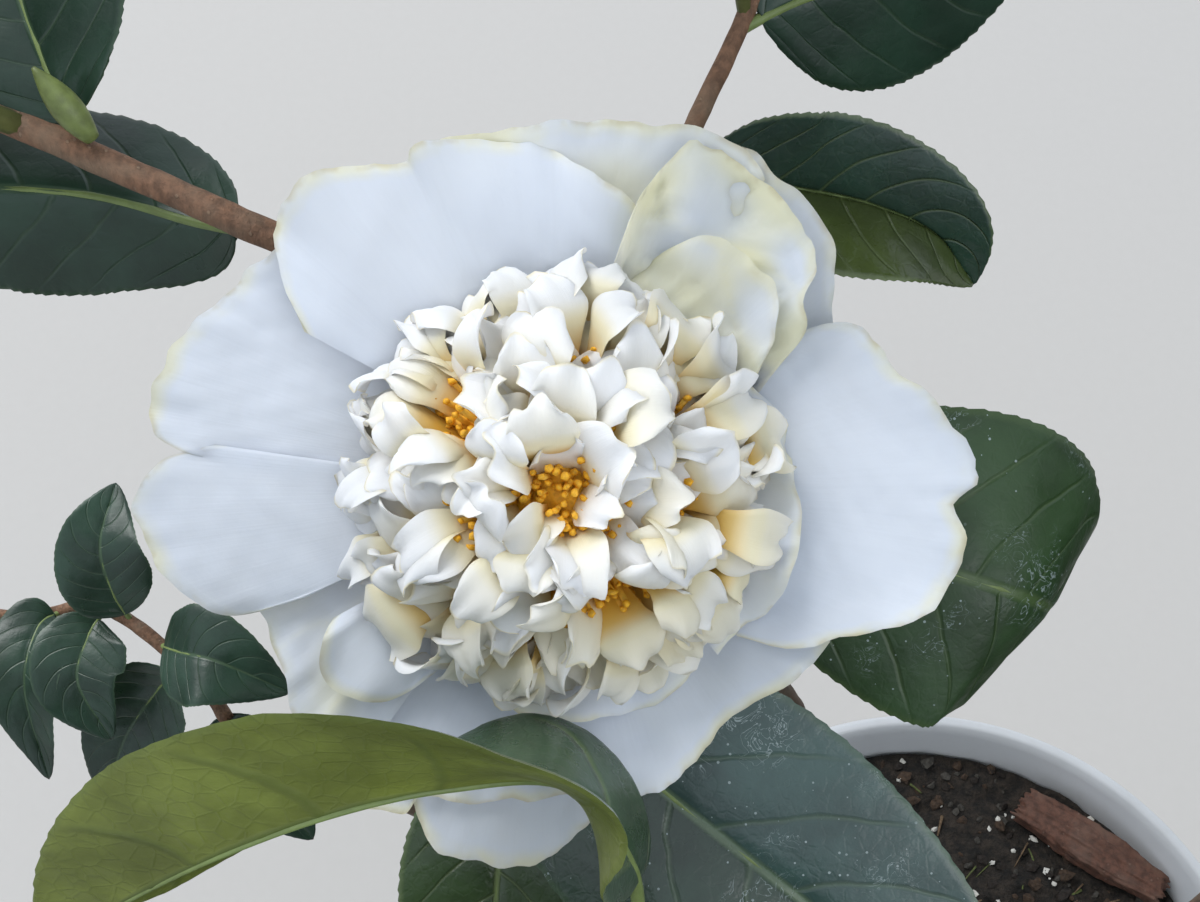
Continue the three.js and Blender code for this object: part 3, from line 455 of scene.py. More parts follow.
class Crowd:
    """What a new leaf keeps clear of: points on leaves, and balls along limbs and blooms."""

    def __init__(self):
        self.points = np.zeros((0, 3))
        self.centres = np.zeros((0, 3))
        self.radii = np.zeros(0)
        self.owners = np.zeros(0, int)
        self.names = {}

    def note_leaf(self, leaf):
        self.points = np.vstack([self.points, probes_of(leaf)])

    def note_balls(self, centres, radii, owner):
        number = self.names.setdefault(owner, len(self.names))
        self.centres = np.vstack([self.centres, centres])
        self.radii = np.append(self.radii, radii)
        self.owners = np.append(self.owners, np.full(len(radii), number))

    def note_line(self, line, radius_at, steps, owner):
        t = np.arange(steps + 1) / steps
        self.note_balls(line(t), radius_at(t) + LIMB_CLEARANCE, owner)

    def is_clear(self, points, owner, clearance=LEAF_CLEARANCE):
        low, high = points.min(0), points.max(0)
        room = self.radii.max()
        near = ((self.centres > low - room) & (self.centres < high + room)).all(1)
        near &= self.owners != self.names.get(owner, -1)
        away = np.linalg.norm(points[:, None] - self.centres[near][None], axis=-1)
        if (away <= self.radii[near][None]).any():
            return False
        near = ((self.points > low - clearance) & (self.points < high + clearance)).all(1)
        away = np.linalg.norm(points[:, None] - self.points[near][None], axis=-1)
        return not (away <= clearance).any()


def grow_leaf(
    twig, share, order, random, mass, crowd, size=1.0, owner=None, clearance=LEAF_CLEARANCE, room=1
):
    """One leaf at a share of a twig's length, turned on round the twig from the last one."""
    way = direction_of(twig.line, share)
    grown = None
    for attempt in range(LEAF_TRIES):
        turn = math.radians(order * DIVERGENCE + attempt * 50 + random.between(-15, 15))
        lean = math.radians(random.between(42, 72))
        length = random.between(0.82, 1.04) * (1 - 0.16 * share) * (1 - 0.04 * attempt)
        length *= LEAF_LENGTH * size
        droop = random.between(8, 46)
        fold = random.between(6, 20)
        roll = random.between(-0.3, 0.3)
        if grown:
            continue
        along = branching(way, turn, lean, LEAF_LIFT)
        up = square_to(vec(0, 0, 1) + way * 0.5, along)
        up = unit(up + np.cross(along, up) * roll)
        root = twig.line(share) - along * ROOT_SINK
        leaf = SimpleNamespace(
            midrib=arched_midrib(root, along, up, length, droop),
            half_width=length * LEAF_SLIMNESS,
            fold_left=(fold, fold),
            fold_right=(fold, fold),
            phase=turn,
            spray=twig.spray,
        )
        probes = probes_of(leaf)
        if in_space(probes, mass, room) and crowd.is_clear(probes, owner, clearance):
            grown = leaf
            crowd.points = np.vstack([crowd.points, probes])
    return grown


def lay_twigs(mass, crowd):
    random = Seeded(mass.seed)
    stem = mass.stem
    mass.twigs = [
        SimpleNamespace(
            line=stem,
            length=float(np.linalg.norm(stem(0) - stem(1))),
            radius_at=lambda t: STEM_RADIUS + (TWIG_RADIUS - STEM_RADIUS) * t,
            bare=mass.bare,
            spray=0,
            order=0,
        )
    ]
    for i in range(mass.side_twigs):
        share = 0.06 + (0.84 * (i + 0.5)) / mass.side_twigs
        turn = math.radians(i * DIVERGENCE + random.between(-20, 20) + 60)
        lean = math.radians(random.between(42, 60))
        length = TWIG_LENGTH * random.between(0.75, 1.1) * (1 - 0.3 * share)
        heading = branching(direction_of(stem, share), turn, lean, TWIG_LIFT)
        start = stem(share)
        line = bowed(start, start + heading * length, vec(0, 0, -1.5))
        outer = line(np.array((0.4, 0.6, 0.8, 1)))
        if in_space(outer, mass, 0.95) and crowd.is_clear(outer, mass.name):
            mass.twigs.append(
                SimpleNamespace(
                    line=line,
                    length=length,
                    radius_at=lambda t: TWIG_RADIUS * (1 - 0.3 * t),
                    bare=0.2,
                    spray=i + 1,
                    order=1,
                )
            )
    for twig in mass.twigs:
        crowd.note_line(twig.line, twig.radius_at, math.ceil(twig.length / 9), mass.name)


def grow_leaves(mass, crowd):
    random = Seeded(mass.seed + 1000)
    mass.leaves = []
    for index, twig in enumerate(mass.twigs):
        spots = max(2, math.floor(twig.length * (1 - twig.bare) / LEAF_SPACING + 0.5))
        for k in range(spots):
            share = twig.bare + (1 - twig.bare) * (k + 0.5) / spots
            leaf = grow_leaf(twig, share, k + index * 0.7, random, mass, crowd)
            if leaf:
                mass.leaves.append(leaf)


# What the finer growth adds: spacing, length and radius of its twigs, where leaves stand on them,
# and how far the leaves keep from others, in millimetres and shares of a twig.
FINE_SPACING = 8
FINE_LENGTH = 40
FINE_RADIUS = 1.05
FINE_TRIES = 3
FINE_LEAVES = (0.45, 0.75, 0.98)
FINE_LEAF_SIZE = 0.84
FINE_CLEARANCE = 3
FINE_LIFT = 0.2


def grow_fine(mass, crowd):
    """Carries a mass on to finer twigs and more leaves by the same rule, within its reach."""
    random = Seeded(mass.seed + 2000)
    for index, twig in enumerate(list(mass.twigs)):
        if twig.bare == 1:
            continue
        count = max(1, math.floor(twig.length * (1 - twig.bare) / FINE_SPACING))
        for k in range(count):
            share = twig.bare + (1 - twig.bare) * (k + 0.95) / count
            fine = fine_twig(mass, crowd, twig, share, k, index, random)
            if not fine:
                continue
            mass.twigs.append(fine)
            crowd.note_line(fine.line, fine.radius_at, 4, mass.name)
            for m, spot in enumerate(FINE_LEAVES):
                leaf = grow_leaf(
                    fine, spot, m + k * 0.4, random, mass, crowd,
                    size=FINE_LEAF_SIZE, owner="", clearance=FINE_CLEARANCE, room=0.93,
                )
                if leaf:
                    mass.leaves.append(leaf)


def fine_twig(mass, crowd, twig, share, k, index, random):
    """A fine twig at a share of a twig's length, or none where no try has room."""
    way = direction_of(twig.line, min(share, 0.99))
    for attempt in range(FINE_TRIES):
        turn = math.radians((k + index * 0.7) * DIVERGENCE + 68 + attempt * 110)
        turn += random.between(-0.3, 0.3)
        lean = math.radians(random.between(35, 60) * (0.5 if share > 0.9 else 1))
        length = FINE_LENGTH * random.between(0.7, 1.1)
        start = twig.line(share)
        heading = branching(way, turn, lean, FINE_LIFT)
        line = bowed(start, start + heading * length, vec(0, 0, -1))
        outer = line(np.array((0.35, 0.7, 1)))
        if in_space(outer, mass, 0.86) and crowd.is_clear(outer, mass.name, FINE_CLEARANCE):
            return SimpleNamespace(
                line=line,
                length=length,
                radius_at=lambda t: FINE_RADIUS * (1 - 0.3 * t),
                bare=0.3,
                spray=twig.spray + 3 * k,
                order=2,
            )
    return None


@functools.cache
def plant():
    """The limbs and the masses of the plant, with all their twigs and leaves."""
    limbs = {}
    crowd = Crowd()
    trunk_line = line_through([point for point, _ in TRUNK])

    def note_limb(name, line, radii):
        limbs[name] = SimpleNamespace(line=line, radius_at=functools.partial(blend, radii))
        crowd.note_line(line, limbs[name].radius_at, 28, None)

    note_limb("trunk", trunk_line, [radius for _, radius in TRUNK])
    for name, (share, tip, bow, radii) in BARE_BOUGHS.items():
        note_limb(name, bowed(trunk_line(share), tip, bow), radii)
    note_limb("bough_bloom", bowed(LEFT_FORK, UNDER_BLOOM, vec(3, -2, 0)), (2.9, 2.2))
    masses = []
    for shoot in SHOOTS:
        lines = [line_through(BLOOM.at(shoot["path"]))]
        for kind in ("petioles", "buds"):
            pairs = shoot.get(kind, ())
            lines.append([bowed(BLOOM.at(a), BLOOM.at(b), vec(0, 0, 0)) for a, b in pairs])
        placed = {}
        for key in shoot["placed"]:
            points, rolls, half_width, left, right = PLACED_LEAVES[key]
            placed[key] = SimpleNamespace(
                midrib=placed_midrib(BLOOM.at(points), rolls, BLOOM.z),
                half_width=half_width,
                fold_left=left,
                fold_right=right,
                phase=len(key),
                spray=0,
            )
        masses.append(
            SimpleNamespace(
                name=shoot["name"], stem=lines[0], petioles=lines[1], buds=lines[2],
                seed=shoot["seed"], side_twigs=shoot["side_twigs"], bare=shoot["bare"],
                reach=SHOOT_REACH, placed=placed, slim=shoot.get("slim", 1),
            )
        )
    for name, share, tip, bow, radii, bare, seed in LEAFY_BOUGHS:
        line = bowed(trunk_line(share), tip, bow)
        note_limb(name if name == "leader" else "bough_" + name, part_of(line, 0, bare), radii)
        masses.append(
            SimpleNamespace(
                name="foliage_top" if name == "leader" else "foliage_" + name,
                stem=part_of(line, bare, 1), petioles=[], buds=[],
                seed=seed, side_twigs=CROWN_SIDE_TWIGS, bare=0.04, reach=MASS_REACH, placed={},
                slim=1,
            )
        )
    named = {mass.name: mass for mass in masses}
    crowd.note_balls(BLOOM.at(ROOM_MIDDLE), [LARGE_ROOM], "bloom")
    blooms = {}
    for name, mass, axis, scale, turn, seed in SMALL_BLOOMS:
        way = unit(vec(*axis))
        foot = named[mass].stem(1)
        small = BloomFrame(foot + way * BLOOM_LIFT * scale, way)
        blooms[name] = SimpleNamespace(
            frame=small, foot=foot + way * 2 * GAP, scale=scale, turn=turn, seed=seed
        )
        crowd.note_balls(small.at(ROOM_MIDDLE), [SMALL_ROOM * scale], name)
    for mass in masses:
        for leaf in mass.placed.values():
            crowd.note_leaf(leaf)
    for mass in masses:
        lay_twigs(mass, crowd)
    for mass in masses:
        grow_leaves(mass, crowd)
    for mass in masses:
        grow_fine(mass, crowd)
    return SimpleNamespace(limbs=limbs, masses=masses, named=named, blooms=blooms)


# Meshes from arrays


@functools.cache
def blade_template(rows, columns, pointed_root=True, pointed_tip=True):
    """The points and faces of a closed blade, whose front and back meet all round its edge."""
    number = {}

    def index(side, i, j):
        if (i == 0 and pointed_root) or (i == rows - 1 and pointed_tip):
            key = (0, i, 0)
        elif i in (0, rows - 1) or j in (0, columns - 1):
            key = (0, i, j)
        else:
            key = (side, i, j)
        return number.setdefault(key, len(number))

    faces, places, spots = [], [], []
    for side in (0, 1):
        for i in range(rows - 1):
            for j in range(columns - 1):
                corners = [(i, j), (i, j + 1), (i + 1, j + 1), (i + 1, j)]
                if side:
                    # Both sides are cut along the same diagonal, so that neither pokes through.
                    corners = corners[:1] + corners[:0:-1]
                ring = {index(side, *corner): corner for corner in corners}
                faces.append(list(ring))
                places.append((side, i, j))
                for a, b in ring.values():
                    spots.append(((side + 0.02 + 0.96 * b / (columns - 1)) / 2, a / (rows - 1)))
    return np.array(list(number)), faces, np.array(places), np.array(spots)


@functools.cache
def tube_template(rings, sides):
    """The faces of a closed tube of rings, and where each corner lies on a flat sheet."""
    faces, spots = [], []
    for i in range(rings - 1):
        for k in range(sides):
            for a, b in ((i, k), (i, k + 1), (i + 1, k + 1), (i + 1, k)):
                spots.append((0.9 * b / sides, a / (rings - 1)))
            on = (k + 1) % sides
            near, far = i * sides, (i + 1) * sides
            faces.append([near + k, near + on, far + on, far + k])
    faces += [list(range(sides))[::-1], list(range((rings - 1) * sides, rings * sides))]
    for middle, turn in ((0.1, -TAU / sides), (0.3, TAU / sides)):
        spots += [
            (0.95 + 0.04 * math.cos(turn * k), middle + 0.04 * math.sin(turn * k))
            for k in range(sides)
        ]
    return faces, np.array(spots)


class Shapes:
    """Shapes gathered from arrays, to be made one joined mesh."""

    def __init__(self):
        self.points, self.loops, self.sizes, self.slots = [], [], [], []
        self.uvs, self.tints, self.spots = [], [], []
        self.count = 0

    def add(self, points, faces, slots=0, uv=None, tint=None, spots=None):
        sizes = np.array([len(face) for face in faces])
        self.points.append(points)
        self.loops.append(np.concatenate([np.array(face) for face in faces]) + self.count)
        self.sizes.append(sizes)
        self.slots.append(np.broadcast_to(slots, len(faces)))
        self.uvs.append(np.zeros((len(points), 2)) if uv is None else uv)
        self.tints.append(np.zeros(len(points)) if tint is None else tint)
        self.spots.append(spots)
        self.count += len(points)

    def add_blade(self, grid, thickness, slots=(0, 0), uv=None, tint=None, pointed=(True, True)):
        """A closed blade over a grid of points: slots are those of its front and its back."""
        rows, columns = grid.shape[:2]
        verts, faces, places, spots = blade_template(rows, columns, *pointed)
        across = np.gradient(grid, axis=1)
        onward = np.gradient(grid, axis=0)
        normal = np.cross(across, onward)
        normal /= np.linalg.norm(normal, axis=-1, keepdims=True) + 1e-12
        thick = np.broadcast_to(thickness, grid.shape[:2])[..., None]
        front, back = grid + normal * thick / 2, grid - normal * thick / 2
        edge = (verts[:, 1] == 0) | (verts[:, 1] == rows - 1)
        edge |= (verts[:, 2] == 0) | (verts[:, 2] == columns - 1)
        i, j = verts[:, 1], verts[:, 2]
        points = np.where(
            edge[:, None], grid[i, j], np.where(verts[:, :1] == 0, front[i, j], back[i, j])
        )
        if callable(slots):
            slots = slots(places)
        else:
            slots = np.where(places[:, 0] == 0, slots[0], slots[1])
        uv = None if uv is None else uv[i, j]
        tint = None if tint is None else tint[i, j]
        self.add(points, faces, slots, uv, tint, spots)

    def add_tube(self, line, radius_at, sides, steps, slot=0, relief=None):
        t = np.linspace(0, 1, steps + 1)
        across, other = sides_of(direction_of(line, t))
        turn = TAU * np.arange(sides) / sides
        ways = across[:, None] * np.cos(turn)[None, :, None]
        ways = ways + other[:, None] * np.sin(turn)[None, :, None]
        middle = line(t)[:, None]
        radius = np.broadcast_to(radius_at(t), t.shape)[:, None, None]
        points = middle + ways * radius
        if relief:
            points = points + ways * relief(points, radius[..., 0])[..., None]
        uv = np.stack(np.meshgrid(t, turn / TAU, indexing="ij"), -1).reshape(-1, 2)
        faces, spots = tube_template(steps + 1, sides)
        self.add(points.reshape(-1, 3), faces, slot, uv, spots=spots)

    def sheet(self):
        """A flat map on which each shape has a square of its own."""
        across = math.ceil(math.sqrt(len(self.spots)))
        return np.vstack([
            (np.array((k % across, k // across)) + 0.03 + 0.94 * spots) / across
            for k, spots in enumerate(self.spots)
        ])

    def make(
        self, name, materials, slot, *nodes, smooth=True, tinted=False, crisp=None, sheet=False
    ):
        """Makes the joined mesh, as a piece that rides on the plant and stands for its nodes."""
        mesh = bpy.data.meshes.new(name)
        points = np.vstack(self.points) * MM
        loops, sizes = np.concatenate(self.loops), np.concatenate(self.sizes)
        mesh.vertices.add(len(points))
        mesh.vertices.foreach_set("co", points.astype(np.float32).ravel())
        mesh.loops.add(len(loops))
        mesh.loops.foreach_set("vertex_index", loops.astype(np.int32))
        mesh.polygons.add(len(sizes))
        starts = np.concatenate([[0], np.cumsum(sizes)[:-1]])
        mesh.polygons.foreach_set("loop_start", starts.astype(np.int32))
        mesh.polygons.foreach_set("material_index", np.concatenate(self.slots).astype(np.int32))
        mesh.update(calc_edges=True)
        layer = mesh.uv_layers.new(name="Surface")
        layer.data.foreach_set("uv", np.vstack(self.uvs)[loops].astype(np.float32).ravel())
        if sheet:
            layer = mesh.uv_layers.new(name="OFBake")
            layer.data.foreach_set("uv", self.sheet().astype(np.float32).ravel())
        if tinted:
            tint = mesh.attributes.new("tint", "FLOAT", "POINT")
            tint.data.foreach_set("value", np.concatenate(self.tints).astype(np.float32))
        mesh.polygons.foreach_set("use_smooth", np.full(len(sizes), smooth))
        if mesh.validate():
            raise RuntimeError(f"{name} has faces that aren't sound")
        piece = bpy.data.objects.new(name, mesh)
        bpy.context.scene.collection.objects.link(piece)
        if crisp:
            smooth_by_angle(piece, crisp)
        return finish_piece(piece, materials, slot, *nodes)


def finish_piece(piece, materials, slot, *nodes):
    """Gives a piece its materials, and says what it rides on and stands for."""
    for material in materials:
        piece.data.materials.append(material)
    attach(piece, "root")
    if nodes:
        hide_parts(*nodes)
    return piece


# Materials


class Finish:
    """A node material in the making, with short names for the nodes that it uses."""

    def __init__(self, name):
        self.material = bpy.data.materials.new(name)
        self.material.use_nodes = True
        self.tree = self.material.node_tree
        self.shader = self.tree.nodes["Principled BSDF"]

    def node(self, kind, inputs, **settings):
        made = self.tree.nodes.new(kind)
        for key, value in settings.items():
            setattr(made, key, value)
        for key, value in inputs.items():
            self.feed(made.inputs[key], value)
        return made

    def feed(self, socket, value):
        if isinstance(value, bpy.types.NodeSocket):
            self.tree.links.new(value, socket)
        elif isinstance(value, (tuple, list)) and len(value) == 3 and socket.type == "RGBA":
            socket.default_value = (*value, 1)
        else:
            socket.default_value = value

    def place(self):
        return self.node("ShaderNodeTexCoord", {}).outputs["Object"]

    def uv(self):
        return self.node("ShaderNodeUVMap", {}, uv_map="Surface").outputs["UV"]

    def across_and_along(self):
        """The surface's own coordinates: across it, with 0.5 in the middle, and along it."""
        split = self.node("ShaderNodeSeparateXYZ", {"Vector": self.uv()})
        return split.outputs["X"], split.outputs["Y"]

    def tint(self):
        return self.node("ShaderNodeAttribute", {}, attribute_name="tint").outputs["Fac"]

    def stretched(self, scale):
        return self.node("ShaderNodeMapping", {"Vector": self.place(), "Scale": scale}).outputs[0]

    def noise(self, size, detail=4, roughness=0.55, at=None, distortion=0.0):
        inputs = {"Vector": at or self.place(), "Scale": 1 / (size * MM), "Detail": detail}
        inputs |= {"Roughness": roughness, "Distortion": distortion}
        return self.node("ShaderNodeTexNoise", inputs).outputs["Fac"]

    def cells(self, size, feature="F1", at=None):
        inputs = {"Vector": at or self.place(), "Scale": 1 / (size * MM)}
        return self.node("ShaderNodeTexVoronoi", inputs, feature=feature)

    def math(self, operation, a, b=0.0):
        made = self.node("ShaderNodeMath", {}, operation=operation)
        self.feed(made.inputs[0], a)
        self.feed(made.inputs[1], b)
        return made.outputs[0]

    def times(self, a, b):
        return self.math("MULTIPLY", a, b)

    def plus(self, a, b):
        return self.math("ADD", a, b)

    def away(self, a, b):
        """How far a is from b, whichever is more."""
        return self.math("ABSOLUTE", self.math("SUBTRACT", a, b))

    def ramp(self, value, low, high, out_low=0.0, out_high=1.0):
        """A value from low to high made one from out_low to out_high, smoothly."""
        inputs = {"Value": value, "From Min": low, "From Max": high}
        inputs |= {"To Min": out_low, "To Max": out_high}
        made = self.node("ShaderNodeMapRange", inputs, interpolation_type="SMOOTHSTEP")
        return made.outputs["Result"]

    def mix(self, factor, a, b):
        made = self.node("ShaderNodeMix", {}, data_type="RGBA")
        self.feed(made.inputs[0], factor)
        self.feed(made.inputs[6], a)
        self.feed(made.inputs[7], b)
        return made.outputs[2]

    def mottled(self, value, low, high, colour, spread):
        """A colour that is darker where the value is low and paler where it is high."""
        return self.mix(
            self.ramp(value, low, high), shade(colour, 1 - spread), shade(colour, 1 + spread)
        )

    def relief(self, height, depth, strength=1.0):
        inputs = {"Height": height, "Distance": depth * MM, "Strength": strength}
        return self.node("ShaderNodeBump", inputs).outputs["Normal"]

    def done(self, **sockets):
        for key, value in sockets.items():
            self.feed(self.shader.inputs[key.replace("_", " ")], value)
        return self.material


def shade(colour, amount):
    return tuple(min(1, c * amount) for c in colour)


def settings():
    return bpy.context.scene.camellia


@functools.cache
def leaf_finish(name, colour, roughness):
    """A crown leaf's blade, in one plain green with a fine grain."""
    f = Finish(name)
    tone = f.mottled(f.noise(9, 3), 0.3, 0.7, colour, 0.14)
    bumps = f.relief(f.noise(2.2, 3), 0.12)
    return f.done(Base_Color=tone, Roughness=roughness, Normal=bumps, Specular_IOR_Level=0.5)


@functools.cache
def vein_finish(
    name, colour, vein, roughness, depth,
    dust=0.0, pairs=8.5, lean=0.2, net=0.16, coat=0.0, other=None,
):
    """A near leaf's blade: side veins that curve forward from the midrib, a fine net and dust."""
    f = Finish(name)
    x, y = f.across_and_along()
    across = f.times(f.away(x, 0.5), 2)
    left = f.math("LESS_THAN", x, 0.5)
    forward = f.times(f.math("POWER", across, 1.35), lean)
    drift = f.times(f.math("SUBTRACT", f.noise(11, 2), 0.5), 0.035)
    sway = f.plus(f.math("SUBTRACT", y, forward), drift)
    phase = f.plus(f.times(sway, pairs), f.times(left, 0.45))
    near = f.times(f.away(f.math("FRACT", phase), 0.5), 2)
    side_vein = f.times(f.ramp(near, 0.0, 0.14, 1.0, 0.0), f.ramp(across, 0.72, 0.97, 1.0, 0.15))
    midrib = f.ramp(across, 0.015, 0.055, 1.0, 0.0)
    veins = f.math("MAXIMUM", side_vein, midrib)
    edges = f.cells(2.3, "DISTANCE_TO_EDGE").outputs["Distance"]
    net_lines = f.times(f.ramp(edges, 0.0, 0.1, 1.0, 0.0), net)
    lines = f.math("MAXIMUM", veins, f.times(net_lines, 0.45))
    cloud = f.noise(14, 4)
    # The wide mottle is partly tone that differs at random and partly painted sheen: patches
    # standing for the sky's reflection on the gloss.
    tone = f.mottled(cloud, 0.32, 0.7, colour, 0.3)
    # A second colour covers the half of the blade from x = 0.5 and the first colour the other
    # half. This is painted light, for a half that catches or lets through the light differently.
    if other:
        tone = f.mix(left, f.mottled(cloud, 0.32, 0.7, other, 0.3), tone)
    tone = f.mix(f.times(lines, 0.4), tone, vein)
    tone = f.mix(f.times(midrib, 0.7), tone, shade(vein, 1.15))
    tone = f.mix(f.times(f.ramp(across, 0.93, 0.99), 0.4), tone, shade(vein, 1.2))
    height = f.plus(f.times(lines, -1 if depth > 0 else 1), f.noise(2.4, 3))
    rough = f.ramp(f.noise(5, 3), 0.3, 0.7, roughness * 0.8, roughness * 1.25)
    if dust:
        marks = f.math("MAXIMUM", dust_dots(f, dust), f.times(dust_curls(f), dust * 2.4))
        tone = f.mix(f.times(marks, 0.8), tone, (0.42, 0.5, 0.5))
        rough = f.plus(rough, f.times(marks, 0.4))
    return f.done(
        Base_Color=tone, Roughness=rough, Normal=f.relief(height, abs(depth), 0.9),
        Specular_IOR_Level=0.5, Coat_Weight=coat, Coat_Roughness=0.25,
    )


def dust_dots(f, dust):
    """Small pale specks, more of them the more dust there is."""
    spots = f.cells(1.1)
    pick = f.node("ShaderNodeSeparateColor", {"Color": spots.outputs["Color"]}).outputs
    size = f.ramp(pick[1], 0, 1, 0.06, 0.17)
    inside = f.math("LESS_THAN", spots.outputs["Distance"], size)
    dots = f.times(inside, f.ramp(pick[0], 1 - dust, 1 - dust + 0.02))
    return f.times(dots, f.ramp(f.noise(17, 2), 0.35, 0.5))


def dust_curls(f):
    """Thin curled marks in patches, as dried drops leave."""
    curl = f.ramp(f.away(f.noise(3.4, 2, distortion=2.5), 0.5), 0.0, 0.018, 1, 0)
    return f.times(curl, f.ramp(f.noise(13, 2), 0.52, 0.66))


@functools.cache
def petal_finish(name, colour, cream, deep):
    """A petal: fine lengthwise veins and a soft sheen, then cream and gold as its tint says."""
    f = Finish(name)
    x, y = f.across_and_along()
    fan = f.node("ShaderNodeCombineXYZ", {"X": f.times(x, 60), "Y": f.times(y, 3)}).outputs[0]
    veins = {"Vector": fan, "Scale": 1.0, "Detail": 3.0}
    streaks = f.node("ShaderNodeTexNoise", veins).outputs["Fac"]
    cloud = f.ramp(f.noise(15, 3), 0.3, 0.7)
    tone = f.mix(f.times(cloud, 0.5), colour, shade(colour, 0.95))
    tone = f.mix(f.times(f.ramp(streaks, 0.45, 0.8), 0.2), tone, shade(colour, 0.9))
    tone = f.mix(f.ramp(f.tint(), 0.0, 0.5), tone, cream)
    tone = f.mix(f.ramp(f.tint(), 0.5, 1.0), tone, deep)
    rim = f.times(f.ramp(y, 0.94, 0.995), f.ramp(f.noise(9, 3), 0.38, 0.62, 0.1, 0.8))
    tone = f.mix(rim, tone, cream)
    worn = f.times(f.ramp(y, 0.975, 1.0), f.ramp(f.noise(5, 3), 0.45, 0.6))
    tone = f.mix(f.times(worn, 0.45), tone, (0.5, 0.4, 0.16))
    height = f.plus(f.times(streaks, 0.5), f.times(f.noise(2.2, 3), 0.6))
    return f.done(
        Base_Color=tone, Roughness=0.55, Normal=f.relief(height, 0.1, 0.6),
        Specular_IOR_Level=0.3, Subsurface_Weight=0.3,
        Subsurface_Radius=(0.004, 0.0035, 0.003), Subsurface_Scale=1.0,
    )


@functools.cache
def plain_finish(name, colour, roughness, size=4.0, spread=0.15, depth=0.1):
    """A plain surface with a little grain in its colour and its relief."""
    f = Finish(name)
    at = f.place()
    grain = f.noise(size, at=at)
    tone = f.mottled(grain, 0.3, 0.7, colour, spread)
    rough = f.ramp(f.noise(size * 0.7, 3, at=at), 0.3, 0.7, roughness * 0.85, roughness * 1.15)
    return f.done(Base_Color=tone, Roughness=rough, Normal=f.relief(grain, depth))


@functools.cache
def bark_finish(name, colour, patch, size=5.0):
    """Young bark: lengthwise fissures, small pale pores and greyer patches."""
    f = Finish(name)
    fibres = f.noise(size * 0.45, 5, 0.65, at=f.stretched((1, 1, 0.22)))
    patches = f.ramp(f.noise(size * 3, 3), 0.45, 0.68)
    tone = f.mix(f.ramp(fibres, 0.32, 0.68), shade(colour, 0.62), shade(colour, 1.3))
    tone = f.mix(f.times(patches, 0.55), tone, patch)
    dots = f.cells(size * 0.5, at=f.stretched((1, 1, 0.6))).outputs["Distance"]
    pores = f.ramp(dots, 0.1, 0.2, 1, 0)
    tone = f.mix(f.times(pores, 0.35), tone, shade(patch, 1.5))
    height = f.plus(fibres, f.times(pores, 0.3))
    return f.done(Base_Color=tone, Roughness=0.72, Normal=f.relief(height, 0.5, 0.9))


@functools.cache
def pot_finish():
    """Moulded white plastic, a little dusty, with splashes of mix inside and low down."""
    f = Finish("pot white plastic")
    colour = tuple(settings().pot_colour)
    tone = f.mix(f.ramp(f.noise(60), 0.35, 0.7), shade(colour, 0.95), shade(colour, 1.03))
    height = f.node("ShaderNodeSeparateXYZ", {"Vector": f.place()}).outputs["Z"]
    low = f.ramp(height, 0.0, 0.05, 1.0, 0.0)
    grime = f.times(f.ramp(f.noise(7, 5, 0.65), 0.5, 0.72), f.plus(low, 0.12))
    tone = f.mix(f.times(grime, 0.5), tone, (0.3, 0.27, 0.23))
    scuffs = f.noise(3, at=f.stretched((1, 1, 5)))
    rough = f.ramp(scuffs, 0.3, 0.75, 0.3, 0.5)
    return f.done(Base_Color=tone, Roughness=rough, Normal=f.relief(scuffs, 0.06, 0.6))


@functools.cache
def soil_finish():
    """Dark moist potting mix."""
    f = Finish("potting mix")
    clods = f.noise(5, 6, 0.7)
    tone = f.mix(f.ramp(clods, 0.35, 0.7), (0.006, 0.005, 0.004), (0.045, 0.033, 0.024))
    height = f.plus(f.times(clods, 1.5), f.noise(1.2))
    return f.done(Base_Color=tone, Roughness=0.85, Normal=f.relief(height, 1.6))


# Modelling by hand


def deselect():
    if bpy.context.object and bpy.context.object.mode != "OBJECT":
        bpy.ops.object.mode_set(mode="OBJECT")
    bpy.ops.object.select_all(action="DESELECT")


def smooth_by_angle(piece, degrees):
    deselect()
    piece.select_set(True)
    bpy.context.view_layer.objects.active = piece
    bpy.ops.object.shade_smooth_by_angle(angle=math.radians(degrees))


def rename(name):
    piece = bpy.context.object
    piece.name = piece.data.name = name
    return piece


def turned(points, turn):
    """Points turned round the upright axis."""
    c, s = math.cos(turn), math.sin(turn)
    return points @ np.array(((c, s, 0), (-s, c, 0), (0, 0, 1)))


# Properties


def colour_setting(name, description, default):
    return FloatVectorProperty(
        name=name, description=description, default=default, subtype="COLOR"
    )


class CamelliaSettings(bpy.types.PropertyGroup):
    """Sizes and colours of the plant and its pot."""

    pot_height: FloatProperty(
        name="Pot height", description="From the underside to the rim", default=POT_HIGH.z,
        unit="LENGTH",
    )
    pot_radius: FloatProperty(
        name="Rim radius", description="From the middle to the outside of the lip",
        default=POT_HIGH.x, unit="LENGTH",
    )
    pot_colour: colour_setting("Pot", "Colour of the pot", (0.64, 0.655, 0.68))
    bark_colour: colour_setting("Bark", "Colour of the trunk and boughs", (0.12, 0.075, 0.048))
    leaf_colour: colour_setting(
        "Leaves", "Colour of the upper side of a grown leaf", (0.022, 0.058, 0.026)
    )
    young_colour: colour_setting(
        "Young leaves", "Colour of the upper side of a young leaf", (0.06, 0.11, 0.028)
    )
    under_colour: colour_setting(
        "Undersides", "Colour of the underside of a leaf", (0.13, 0.175, 0.045)
    )
    petal_colour: colour_setting("Petals", "Colour of the outer petals", (0.74, 0.78, 0.86))
    cream_colour: colour_setting("Cream", "Colour deep in the bloom", (0.87, 0.78, 0.52))
    stamen_colour: colour_setting("Stamens", "Colour of the anthers", (0.85, 0.42, 0.02))
    crumbs: IntProperty(
        name="Crumbs", description="How many crumbs lie on the mix", default=1500, min=0
    )
    light_power: FloatProperty(
        name="Light", description="Power of the large soft light", default=38, unit="POWER"
    )


# Pot and filling

